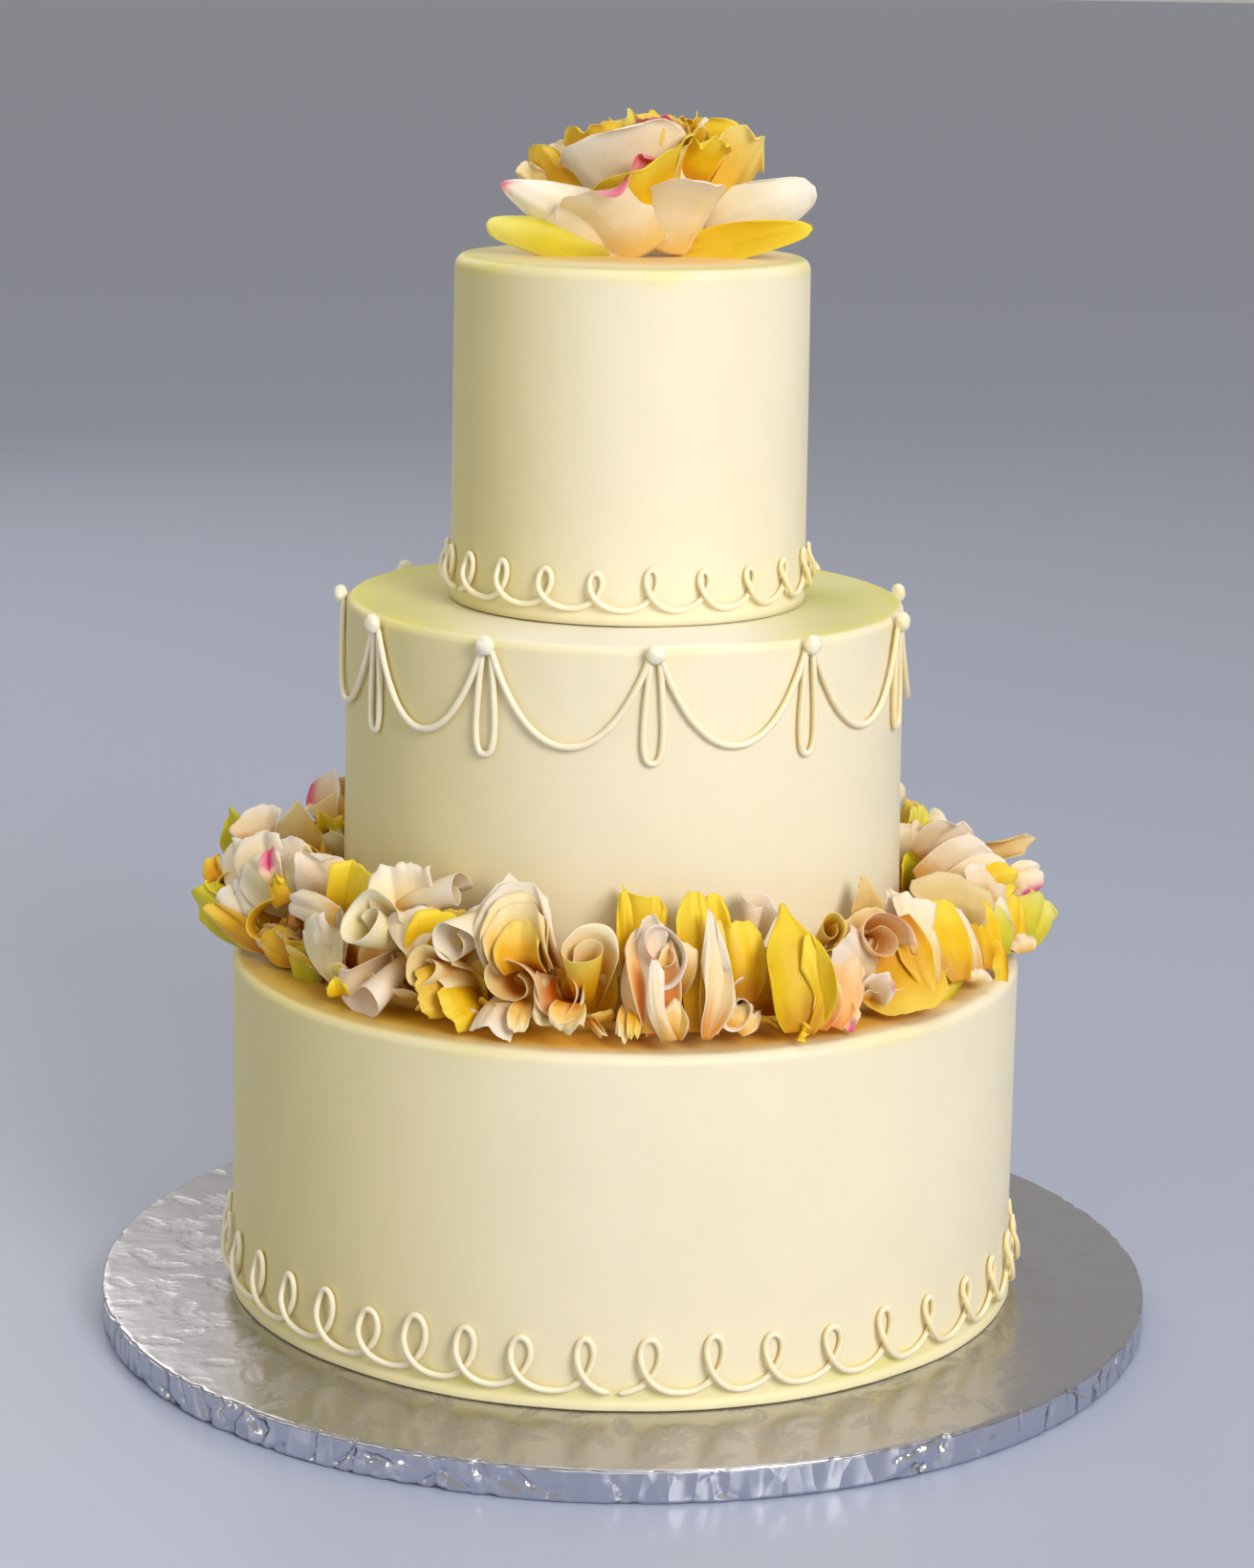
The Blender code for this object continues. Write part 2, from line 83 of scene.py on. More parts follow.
def putPiece(name, parts, finish, replaced=()):
    # parts are (points, quads, triangles, tones, places): one mesh with a colour and a place on
    # the sheet at each point
    points, loops, starts, tones, places, count, reached = [], [], [], [], [], 0, 0
    for part in parts:
        points.append(part["points"])
        tones.append(part["tones"])
        places.append(part.get("places", np.zeros((len(part["points"]), 2))))
        for faces in (part.get("quads"), part.get("triangles")):
            if faces is None or len(faces) == 0:
                continue
            loops.append((faces + count).ravel())
            starts.append(reached + np.arange(len(faces)) * faces.shape[1])
            reached += faces.size
        count += len(part["points"])
    points, loops, starts = np.concatenate(points), np.concatenate(loops), np.concatenate(starts)
    tones, places = np.concatenate(tones), np.concatenate(places)
    mesh = bpy.data.meshes.new(name)
    mesh.vertices.add(len(points))
    mesh.vertices.foreach_set("co", points.astype(np.float32).ravel())
    mesh.loops.add(len(loops))
    mesh.loops.foreach_set("vertex_index", loops.astype(np.int32))
    mesh.polygons.add(len(starts))
    mesh.polygons.foreach_set("loop_start", starts.astype(np.int32))
    tint = mesh.attributes.new("tone", "FLOAT_COLOR", "POINT")
    tint.data.foreach_set("color", np.column_stack([tones, np.ones(len(tones))]).astype(np.float32).ravel())
    sheet = mesh.uv_layers.new(name="sheet")
    mesh.update(calc_edges=True)
    sheet.data.foreach_set("uv", places[loops].astype(np.float32).ravel())
    mesh.validate()
    mesh.shade_smooth()
    mesh.materials.append(finish)
    piece = bpy.data.objects.new(name, mesh)
    bpy.context.scene.collection.objects.link(piece)
    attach(piece, "root")
    if replaced:
        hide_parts(*replaced)
    return piece


def endFans(rows, columns, turned=False):
    # triangles from the two points that follow a closed grid to its first and to its last row
    count, k = rows * columns, np.arange(columns)
    j = (k + 1) % columns
    if turned:
        k, j = j, k
    return np.concatenate([np.stack([np.full(columns, count), j, k], 1),
                           np.stack([np.full(columns, count + 1), count - columns + k, count - columns + j], 1)])


def lathe(profile, columns, shift, wobble):
    # profile rows (radius, height) run from the axis on top to the axis below; each row but the
    # first and last is a ring: x = r sin a + shift, y = -r cos a, where wobble(a, r, z) moves r and z
    profile = np.asarray(profile)
    rows = len(profile) - 2
    azimuth = np.broadcast_to(np.linspace(0, 2 * np.pi, columns, endpoint=False), (rows, columns))
    radius, height = (np.broadcast_to(profile[1:-1, i:i + 1], (rows, columns)) for i in (0, 1))
    outward, upward = wobble(azimuth, radius, height)
    radius = radius + outward
    rings = np.stack([radius * np.sin(azimuth) + shift, -radius * np.cos(azimuth), height + upward], -1)
    ends = [[shift, 0.0, profile[0, 1]], [shift, 0.0, profile[-1, 1]]]
    points = np.concatenate([rings.reshape(-1, 3), ends])
    return points, gridQuads(rows, columns, True)[:, ::-1], endFans(rows, columns, True)


# Materials
def newFinish(name):
    made = bpy.data.materials.new(name)
    made.use_nodes = True
    tree = made.node_tree
    return made, tree, tree.nodes["Principled BSDF"]


def wire(tree, source, output, target, entry):
    tree.links.new(source.outputs[output], target.inputs[entry])


def assign(node, values):
    for key, value in values.items():
        node.inputs[key].default_value = value


def noiseNode(tree, vector, output, scale, detail, rough, stretch=None):
    # noise on the given coordinates, stretched by a mapping where asked
    noise = tree.nodes.new("ShaderNodeTexNoise")
    assign(noise, {"Scale": scale, "Detail": detail, "Roughness": rough})
    if stretch:
        mapping = tree.nodes.new("ShaderNodeMapping")
        assign(mapping, {"Scale": stretch})
        wire(tree, vector, output, mapping, "Vector")
        wire(tree, mapping, "Vector", noise, "Vector")
    else:
        wire(tree, vector, output, noise, "Vector")
    return noise


def rangeNode(tree, source, output, low, high, toLow, toHigh):
    # value between low and high spread over toLow to toHigh
    spread = tree.nodes.new("ShaderNodeMapRange")
    assign(spread, {"From Min": low, "From Max": high, "To Min": toLow, "To Max": toHigh})
    wire(tree, source, output, spread, "Value")
    return spread


def tonedColour(tree, shader, factor, output, dark, light):
    # base colour = tone of the mesh times a grey between dark and light that follows factor
    tone = tree.nodes.new("ShaderNodeAttribute")
    tone.attribute_name = "tone"
    ramp = rangeNode(tree, factor, output, 0.3, 0.7, dark, light)
    mix = tree.nodes.new("ShaderNodeMix")
    mix.data_type = "RGBA"
    mix.blend_type = "MULTIPLY"
    assign(mix, {0: 1.0})
    wire(tree, tone, "Color", mix, 6)
    wire(tree, ramp, "Result", mix, 7)
    wire(tree, mix, 2, shader, "Base Color")


def bumpNode(tree, shader, source, output, strength, distance, before=None):
    bump = tree.nodes.new("ShaderNodeBump")
    assign(bump, {"Strength": strength, "Distance": distance})
    wire(tree, source, output, bump, "Height")
    if before:
        wire(tree, before, "Normal", bump, "Normal")
    wire(tree, bump, "Normal", shader, "Normal")
    return bump


# Soft finishes. Each noise is (scale, detail, roughness, stretch); tint is the noise that darkens the
# colour and down to what share, gloss the noise that sets the roughness and its range, and each bump
# is (noise, strength, distance)
softLooks = {
    # smooth rolled icing: satin, a little soft in the light, fine dimples and faint streaks
    "icing_satin": {"noises": {"cloud": (26.0, 5.0, 0.55), "grain": (420.0, 3.0, 0.6),
                               "streaks": (60.0, 2.0, 0.5, (1.0, 1.0, 0.25))},
                    "tint": ("cloud", 0.965), "gloss": ("cloud", 0.42, 0.54),
                    "shader": {"Subsurface Weight": 0.18, "Subsurface Radius": (1.0, 0.75, 0.42),
                               "Subsurface Scale": 0.003, "IOR": 1.42},
                    "bumps": [("streaks", 0.10, 0.0012), ("grain", 0.09, 0.0003)]},
    # set piped icing: a shade glossier than the rolled icing
    "icing_piped": {"noises": {"grain": (300.0, 3.0, 0.6)}, "tint": ("grain", 0.97), "gloss": ("grain", 0.36, 0.46),
                    "shader": {"Subsurface Weight": 0.15, "Subsurface Radius": (1.0, 0.8, 0.5),
                               "Subsurface Scale": 0.0012},
                    "bumps": [("grain", 0.12, 0.0003)]},
    # petal flesh: light shines through it, veins run from the foot to the lip of each sheet
    "petal_flesh": {"noises": {"veins": (1.0, 4.0, 0.6, (60.0, 3.2, 1.0)),
                               "mottle": (1.0, 4.0, 0.6, (5.0, 7.0, 1.0))},
                    "tint": ("mottle", 0.93), "gloss": ("veins", 0.42, 0.56),
                    "shader": {"Subsurface Weight": 0.2, "Subsurface Radius": (1.0, 0.86, 0.4),
                               "Subsurface Scale": 0.0018, "Specular IOR Level": 0.35},
                    "bumps": [("veins", 0.28, 0.0005), ("mottle", 0.22, 0.0011)]},
}


def sheetNode(tree):
    # the place on the sheet, as putPiece stores it
    place = tree.nodes.new("ShaderNodeUVMap")
    place.uv_map = "sheet"
    return place


def softFinish(name, onSheet=False):
    # tone of the mesh under a faint mottle, satin, with light sinking in, and bumps one on another
    look = softLooks[name]
    made, tree, shader = newFinish(name)
    place = sheetNode(tree) if onSheet else tree.nodes.new("ShaderNodeTexCoord")
    output = "UV" if onSheet else "Object"
    noises = {key: noiseNode(tree, place, output, *values) for key, values in look["noises"].items()}
    tonedColour(tree, shader, noises[look["tint"][0]], "Fac", look["tint"][1], 1.0)
    wire(tree, rangeNode(tree, noises[look["gloss"][0]], "Fac", 0.3, 0.7, *look["gloss"][1:]), "Result", shader,
         "Roughness")
    assign(shader, look["shader"])
    bump = None
    for key, strength, distance in look["bumps"]:
        bump = bumpNode(tree, shader, noises[key], "Fac", strength, distance, bump)
    return made


# Foil: roughness where it is bright and where it is pressed; bumps are (strength, distance)
foilLook = {"roughness": (0.15, 0.46), "facets": 120.0, "facetShape": (1.0, 1.0, 0.45),
            "facetTurn": (0.35, 0.25, 0.0), "ripples": (70.0, 3.0, 0.5), "grain": (900.0, 2.0, 0.5),
            "rippleBump": (0.22, 0.0012), "facetBump": (0.65, 0.003), "grainBump": (0.08, 0.0002)}


def foilFinish():
    # embossed foil: bright metal, duller by x of the sheet, crumpled into facets by y of the sheet
    look = foilLook
    made, tree, shader = newFinish("foil_embossed")
    place, facets = tree.nodes.new("ShaderNodeTexCoord"), tree.nodes.new("ShaderNodeTexVoronoi")
    tone, mapping = tree.nodes.new("ShaderNodeAttribute"), tree.nodes.new("ShaderNodeMapping")
    apart, crumple = tree.nodes.new("ShaderNodeSeparateXYZ"), tree.nodes.new("ShaderNodeMath")
    tone.attribute_name = "tone"
    wire(tree, tone, "Color", shader, "Base Color")
    assign(shader, {"Metallic": 1.0})
    wire(tree, sheetNode(tree), "UV", apart, "Vector")
    wire(tree, rangeNode(tree, apart, "X", 0.0, 1.0, *look["roughness"]), "Result", shader, "Roughness")
    ripples = noiseNode(tree, place, "Object", *look["ripples"])
    grain = noiseNode(tree, place, "Object", *look["grain"])
    assign(facets, {"Scale": look["facets"]})
    assign(mapping, {"Scale": look["facetShape"], "Rotation": look["facetTurn"]})
    wire(tree, place, "Object", mapping, "Vector")
    wire(tree, mapping, "Vector", facets, "Vector")
    crumple.operation = "MULTIPLY"
    wire(tree, facets, "Distance", crumple, 0)
    wire(tree, apart, "Y", crumple, 1)
    bump = bumpNode(tree, shader, ripples, "Fac", *look["rippleBump"])
    bump = bumpNode(tree, shader, crumple, "Value", *look["facetBump"], bump)
    bumpNode(tree, shader, grain, "Fac", *look["grainBump"], bump)
    return made


icing, piping = softFinish("icing_satin"), softFinish("icing_piped")
petalFlesh, foil = softFinish("petal_flesh", True), foilFinish()
print("finishes made")

# Board: sizes in metres; motifs are pressed into the foil on a jittered lattice, from patternFrom out
boardLook = {"radius": 203.0 * mm, "height": 13.0 * mm, "edge": 1.3 * mm, "pitch": 40 * mm, "press": 0.16 * mm,
             "patternFrom": 140 * mm, "creases": 260, "creaseDepth": 1.2 * mm, "metal": "bfbec6",
             "sideMetal": "cacdd8", "columns": 1240, "seed": 3}


def motifField(x, y, look):
    # depth of the pressed pattern: around each lattice point a flower, 1 - r / R(angle) with R
    # waving twelve times, and three curved leaves with notched edges
    draw = np.random.default_rng(look["seed"])
    field = np.zeros_like(x)
    steps = np.arange(-6, 7)
    for line in steps:
        for column in steps:
            cx = (column + 0.5 * (line % 2)) * look["pitch"] + draw.uniform(-5, 5) * mm
            cy = line * look["pitch"] * 0.86 + draw.uniform(-5, 5) * mm
            turn, size = draw.uniform(0, 6.28), draw.uniform(0.8, 1.2)
            if not look["patternFrom"] - 10 * mm < math.hypot(cx, cy) < look["radius"] + 22 * mm:
                continue
            dx, dy = x - cx, y - cy
            distance, angle = np.hypot(dx, dy) / (mm * size), np.arctan2(dy, dx) + turn
            wave = 8.5 + 2.4 * np.cos(12 * angle) * ease(distance, 3, 8)
            bloom = ease(wave - distance, 0, 0.8) * (0.65 + 0.35 * np.cos(12 * angle + 0.35 * distance))
            field = np.maximum(field, bloom * ease(distance, 0.8, 1.6))
            for frond in range(3):
                bent = angle + 2.094 * frond + 0.045 * (distance - 10)
                side = np.abs(np.mod(bent + np.pi, 2 * np.pi) - np.pi) * distance
                half = 5.0 * np.sin(np.clip((distance - 9.5) / 13, 0, 1) * np.pi) ** 0.7
                half = half * (0.85 + 0.22 * np.cos(distance * 2.3))
                blade = ease(half - side, 0, 0.8) * ease(side, 0.15, 0.7)
                field = np.maximum(field, 0.85 * blade)
    return field


def boardSkin():
    look = boardLook
    radius, height, edge = look["radius"], look["height"], look["edge"]
    inner = np.linspace(look["patternFrom"], radius - edge, 54)
    profile = [(0.0, height), (0.06, height), (0.12, height)] + [(r, height) for r in inner]
    profile += [(radius - edge * (1 - math.sin(a)), height - edge * (1 - math.cos(a))) for a in (0.4, 0.8, 1.2)]
    profile += [(radius, z) for z in np.linspace(height - edge, edge, 16)]
    profile += [(radius - edge * 0.5, edge * 0.3), (radius - edge, 0.0), (0.1, 0.0), (0.0, 0.0)]
    draw = np.random.default_rng(look["seed"])
    folds = [(draw.uniform(0, 2 * np.pi), draw.uniform(0, height), draw.uniform(-1.4, 1.4),
              draw.uniform(0.8, 3.6) * mm, draw.uniform(3, 13) * mm, draw.uniform(0.15, 1.0))
             for _ in range(look["creases"])]

    def wobble(azimuth, r, z):
        # side: outward = -depth sum of strength (1 - distance / width) near each crease line;
        # top: the pressed pattern and a slow wave
        side = ease(r, radius - 2.2 * edge, radius - 0.2 * edge)
        outward = np.zeros_like(r)
        for at, level, lean, width, reach, strength in folds:
            along = (np.mod(azimuth - at + np.pi, 2 * np.pi) - np.pi) * radius
            across = along * math.cos(lean) + (z - level) * math.sin(lean)
            length = -along * math.sin(lean) + (z - level) * math.cos(lean)
            near = np.clip(1 - abs(across) / width, 0, 1)
            outward += strength * near * ease(reach - abs(length), 0, 2 * mm)
        low = gentleNoise(5, azimuth * 23, z / mm * 0.25)
        outward = -side * (look["creaseDepth"] * np.clip(outward, 0, 1.1) + 0.10 * mm * (1 + low))
        x, y = r * np.sin(azimuth), -r * np.cos(azimuth)
        onTop = ease(z, height - 0.1 * mm, height)
        onTop = onTop * ease(r, look["patternFrom"] - 2 * mm, look["patternFrom"] + 2 * mm)
        pressed = look["press"] * motifField(x, y, look) + 0.12 * mm * (1 + gentleNoise(9, x * 38, y * 38))
        up = -onTop * pressed * ease(radius - r, 0, 3 * mm)
        up = up - 0.25 * mm * side * (z > height / 2) * (1 + gentleNoise(14, azimuth * 60, waves=3)) / 2
        return outward, up

    points, quads, triangles = lathe(profile, look["columns"], 0.0, wobble)
    onTop = points[:, 2] > height - 1.2 * mm
    pressed = motifField(points[:, 0], points[:, 1], look) * onTop
    metal = paint(look["metal"])
    outside = ease(np.hypot(points[:, 0], points[:, 1]), radius - 1.6 * edge, radius - 0.6 * edge) * ~onTop
    tones = blendTone(blendTone(metal, metal * 0.9, pressed), paint(look["sideMetal"]), outside)
    places = np.column_stack([np.where(onTop, 0.30 + 0.7 * pressed, 0.08), outside])
    return [dict(points=points, quads=quads, triangles=triangles, tones=tones, places=places)]


putPiece("board_foil", boardSkin(), foil, ["board"])
print("board wrapped")

# Tiers: sizes as in the frame's solids, then the icing's own unevenness in metres and its tints
tierLook = {
    "tier_bottom": dict(foot=151.4 * mm, top=150.9 * mm, level=143.5 * mm, shift=-1.1 * mm, rim=4.0 * mm,
                        below=13.0 * mm, seed=21, uneven=0.35 * mm, rimDust=0.04, footDust=0.7),
    "tier_middle": dict(foot=106.8 * mm, top=105.0 * mm, level=278.8 * mm, shift=-2.9 * mm, rim=3.4 * mm,
                        below=143.5 * mm, seed=22, uneven=0.28 * mm, rimDust=0.2, footDust=0.5),
    "tier_top": dict(foot=66.9 * mm, top=65.9 * mm, level=406.5 * mm, shift=-2.5 * mm, rim=4.5 * mm,
                     below=278.8 * mm, seed=23, uneven=0.22 * mm, rimDust=0.2, footDust=0.2),
}
lip = {"height": 4.0 * mm, "depth": 0.9 * mm}
roseAside = 9 * mm  # how far right of its middle the amber tint round the rose on the highest tier is centred
# shadeSide and the olive of the ledge are painted shade on the left, the pale ledge colour a painted highlight, amber
# partly airbrush and partly painted shade and bounce light from the petals
tierTints = {"icing": "f5ecd0", "shadeSide": "e0d48e", "airbrush": "e6de48", "amber": "fcc024", "gold": "faeabc",
             "greenish": "c8cc5c", "oliveLedgeShade": "c8a62e", "foot": "f6eebc", "ledgeHighlight": "fffcf2"}


def tierSkin(name):
    # the solid's profile with a round rim, then r += uneven noise(azimuth, z) and a slow sag
    look = tierLook[name]
    start, rim, top = look["below"] + gap, look["rim"], look["top"]
    profile = [(0.0, look["level"])] + [(r, look["level"]) for r in np.linspace(0.02, 0.999, 34) * (top - rim)]
    for angle in np.linspace(90, 0, 13):
        a = math.radians(angle)
        profile.append((top - rim * (1 - math.cos(a)), look["level"] - rim * (1 - math.sin(a))))
    last = start + (lip["height"] if name == "tier_bottom" else 0.0)
    share = np.linspace(0, 1, 46)[1:]
    high = look["level"] - rim
    profile += [(top + (look["foot"] - top) * s, high + (last - high) * s) for s in share]
    if name == "tier_bottom":
        # the lip swells outward and rolls under
        for s in np.linspace(0, 1, 10)[1:]:
            profile.append((look["foot"] + lip["depth"] * math.sin(min(s * 1.5, 1) * math.pi / 2) ** 2,
                            start + lip["height"] * (1 - s)))
    profile += [(look["foot"] * 0.97, start), (0.0, start)]
    seed, uneven = look["seed"], look["uneven"]

    def wobble(azimuth, r, z):
        onSide = ease(r, top - 1.6 * rim, top)
        noise = gentleNoise(seed, np.sin(azimuth) * 2.6, np.cos(azimuth) * 2.6, z * 26, waves=5)
        fine = gentleNoise(seed + 40, np.sin(azimuth) * 14, np.cos(azimuth) * 14, z * 90)
        outward = onSide * (uneven * (noise - 0.6) + 0.07 * mm * fine) * ease(z, start, start + 12 * mm)
        if name == "tier_bottom":
            outward = outward + 0.35 * mm * gentleNoise(61, azimuth * 9) * ease(z, start + 5 * mm, start)
        flat = (1 - onSide) * ease(z, look["level"] - 1 * mm, look["level"])
        x, y = r * np.sin(azimuth), r * np.cos(azimuth)
        up = flat * (0.3 * mm * (gentleNoise(seed + 7, x * 45, y * 45) - 1.0))
        up = up + onSide * ease(z, look["level"] - 5 * mm, look["level"]) * 0.3 * mm * (noise - 0.8)
        return outward, up

    points, quads, triangles = lathe(profile, 320, look["shift"], wobble)
    return dict(points=points, quads=quads, triangles=triangles, tones=tierTones(name, points))


def tierTones(name, points):
    # cream icing, with yellow and green dust at the rims, the ledges and the foot; painted shade on the left
    # of each tier and of the lowest ledge, amber on the lowest ledge round the petals that is partly painted
    # shade and bounce light, and a painted highlight at the front of the middle ledge: each layer is a
    # tint and the share of it at each point
    look = tierLook[name]
    x, y, z = points[:, 0] - look["shift"], points[:, 1], points[:, 2]
    r, azimuth = np.hypot(x, y), np.arctan2(x, -y)
    cloud = gentleNoise(look["seed"] + 90, x * 30, y * 30, z * 30, waves=5)
    streak = gentleNoise(look["seed"] + 95, azimuth * 7, z * 25, waves=5)
    leftward = ease(-x / look["foot"], 0.0, 0.9)
    down, above = look["level"] - z, z - look["below"]
    rimBand = np.exp(-((down - 2.5 * mm) / (3.2 * mm)) ** 2) * (r > look["top"] - 4 * mm)
    footBand = np.exp(-(above / (11 * mm)) ** 2) * (r > look["foot"] * 0.96)
    onTop = ease(down, 1.2 * mm, 0.2 * mm)
    # shadeSide: the left side darkened, painted shade
    layers = [("shadeSide", 0.8 * leftward),
              ("airbrush", np.clip(look["rimDust"] + 0.22 * streak, 0, 1) * rimBand),
              ("foot", look["footDust"] * footBand)]
    if name == "tier_bottom":
        line = np.exp(-((above - 6.2 * mm) / (2.0 * mm)) ** 2) * (r > look["foot"] * 0.96)
        # the airbrushed line above the lip; gold at the ledge's rim; amber nearer the petals, partly airbrush and
        # partly painted shade and bounce light from them; the left of the ledge darkened olive as painted shade
        layers += [("airbrush", np.clip(0.42 + 0.3 * streak, 0, 0.9) * line),
                   ("gold", onTop * ease(r, 149 * mm, 144 * mm) * 0.9),
                   ("amber", onTop * ease(r, 148 * mm, 138 * mm) * (0.8 + 0.14 * cloud)),
                   ("oliveLedgeShade", onTop * leftward * 0.8)]
    if name == "tier_middle":
        # aside is least at the front middle of the ledge, where a painted highlight lightens the icing in place of
        # the green
        aside = 0.06 + 0.94 * ease(abs(x) / look["top"] + 0.5 * (y > 0), 0.3, 0.8)
        edge = np.exp(-((r - look["top"] + 3 * mm) / (7 * mm)) ** 2)
        layers += [("ledgeHighlight", onTop * (1 - aside)),
                   ("greenish", onTop * (0.55 + 0.25 * cloud) * aside),
                   ("airbrush", onTop * edge * aside * np.clip(0.5 + 0.3 * streak, 0, 1))]
    if name == "tier_top":
        near = ease(np.hypot(x - roseAside, y), 62 * mm, 28 * mm)
        edge = np.exp(-((r - look["top"] + 4 * mm) / (5 * mm)) ** 2)
        layers += [("amber", onTop * near * 0.5), ("greenish", onTop * edge * 0.5)]
    tones = paint(tierTints["icing"])
    for tint, share in layers:
        tones = blendTone(tones, paint(tierTints[tint]), share)
    return tones


for tierName in tierLook:
    putPiece(tierName + "_icing", [tierSkin(tierName)], icing, [tierName])
print("tiers iced")

# Piping: the paths are those of the frame's solids, in metres along the wall, height and depth
scrollLook = {
    "scroll_bottom": dict(tier="tier_bottom", base=19.9 * mm, height=20.0 * mm, swing=8.2 * mm, thread=1.2 * mm,
                          loops=42, seam=4.3, seen=[-71.5, -61.5, -52.6, -44.2, -36.0, -28.3, -20.8, -13.0, -4.3, 4.3,
                                                    13.0, 21.2, 30.2, 39.0, 47.8, 57.2, 66.3, 75.5, 84.2]),
    "scroll_top": dict(tier="tier_top", base=284.8 * mm, height=14.4 * mm, swing=6.3 * mm, thread=1.1 * mm,
                       loops=22, seam=-58.5, seen=[-58.5, -41.8, -25.7, -9.4, 7.6, 24.2, 41.0, 57.4, 74.2]),
}
# the dusted tint is yellow airbrush dust and painted shade on the left and wall sides of threads and beads
pipingTints = {"thread": "faf2d8", "dustAndShade": "ecd058", "bead": "faf4e0"}
wallShare = 0.62  # a thread is flattened to this share of its radius where it lies on the wall


def wallPoint(tier, along, height, depth):
    # radius = foot + (top - foot) share + depth, azimuth = along / foot
    share = (height - tier["below"]) / (tier["level"] - tier["below"])
    azimuth, radius = along / tier["foot"], tier["foot"] + (tier["top"] - tier["foot"]) * share + depth
    return np.stack([radius * np.sin(azimuth) + tier["shift"], -radius * np.cos(azimuth), height], -1)


def threadSkin(tier, path, radius, seed, sides=10):
    # a round thread along path, rows (along, height, depth): point = centre + radius (cos a side
    # + sin a out), its wall side flattened, its ends closing as radius sqrt(1 - s^2)
    ahead = np.gradient(path[:, :2], axis=0)
    ahead /= np.linalg.norm(ahead, axis=1)[:, None]
    aside = np.stack([-ahead[:, 1], ahead[:, 0]], 1)
    run = np.concatenate([[0], np.cumsum(np.linalg.norm(np.diff(path[:, :2], axis=0), axis=1))])
    thick = radius * (1 + 0.06 * gentleNoise(seed, run / mm * 0.45))
    rounded = lambda away: np.sqrt(np.clip(1 - (1 - np.clip(away / radius, 0, 1)) ** 2, 0.02, 1))
    thick = thick * rounded(run) * rounded(run[-1] - run)
    angle = np.linspace(0, 2 * np.pi, sides, endpoint=False)
    out = np.where(np.sin(angle) < 0, wallShare, 1.0) * np.sin(angle)
    flat = path[:, None, :2] + thick[:, None, None] * np.cos(angle)[None, :, None] * aside[:, None, :]
    depth = path[:, 2:3] + thick[:, None] * out[None, :]
    points = wallPoint(tier, flat[..., 0], flat[..., 1], depth).reshape(-1, 3)
    ends = wallPoint(tier, path[[0, -1], 0], path[[0, -1], 1], path[[0, -1], 2])
    # yellow dust and painted shade lie on the side that faces left and on the foot of the thread
    leftward = np.clip(-(np.cos(angle)[None, :] * aside[:, :1]), 0, 1) ** 1.5
    dustAndShade = np.clip(0.62 * leftward + 0.55 * ease(-out, 0.1, 0.6)[None, :], 0, 0.85)
    tones = blendTone(paint(pipingTints["thread"]), paint(pipingTints["dustAndShade"]), dustAndShade.ravel())
    return dict(points=np.concatenate([points, ends]), quads=gridQuads(len(path), sides, True),
                triangles=endFans(len(path), sides), tones=np.concatenate([tones, tones[[0, -1]]]))


def scrollPath(name, fine=44):
    # with t from -pi to pi over one loop: along = centre + pitch t / 2 pi - swing sin t,
    # height = base + h (1 + cos t) / 2; past the top the thread lies over itself
    scroll = scrollLook[name]
    tier = tierLook[scroll["tier"]]
    seen = scroll["seen"]
    rest = scroll["loops"] - len(seen)
    step = (seen[0] + 360.0 - seen[-1]) / (rest + 1)
    centres = np.radians(np.array(seen + [seen[-1] + step * (i + 1) for i in range(rest)])) * tier["foot"]
    around = 2 * np.pi * tier["foot"]
    draw = np.random.default_rng(7)
    first = int(np.argmin(abs(np.array(seen) - scroll["seam"])))
    order = [(first + i) % len(centres) for i in range(len(centres))]
    even = np.linspace(-np.pi, np.pi, fine + 1)[:-1]
    rows = []
    for i in order:
        centre = centres[i] + (around if i < first else 0.0)
        later = centres[(i + 1) % len(centres)] + (around if (i + 1) % len(centres) <= first else 0.0)
        pitch = later - centre if i != order[-1] else around / len(centres)
        t = even - 0.28 * np.sin(even)
        tall = scroll["height"] * draw.uniform(0.93, 1.07)
        swing = scroll["swing"] * draw.uniform(0.93, 1.05)
        over = 2.1 * scroll["thread"] * np.exp(-((t - 1.95) / 0.8) ** 4)
        rows.append(np.column_stack([centre + pitch * t / (2 * np.pi) - swing * np.sin(t),
                                     scroll["base"] + tall * (1 + np.cos(t)) / 2,
                                     gap + wallShare * scroll["thread"] + over]))
    path = np.concatenate(rows)
    for _ in range(3):
        path[1:-1] = (path[:-2] + 2 * path[1:-1] + path[2:]) / 4
    return path


for scrollName, scroll in scrollLook.items():
    skin = threadSkin(tierLook[scroll["tier"]], scrollPath(scrollName), scroll["thread"], 31)
    putPiece(scrollName + "_thread", [skin], piping, [scrollName])

garlandLook = {"beads": [-92.0, -58.0, -27.2, 5.9, 38.2, 71.0, 104.5, 137.0, 169.5, -158.0, -126.0],
               "height": 276.8 * mm, "radius": 3.7 * mm, "depth": 2.7 * mm, "swag": 33.5 * mm, "drop": 39.5 * mm,
               "width": 4.2 * mm, "thread": 1.35 * mm, "beadGrid": (15, 22)}


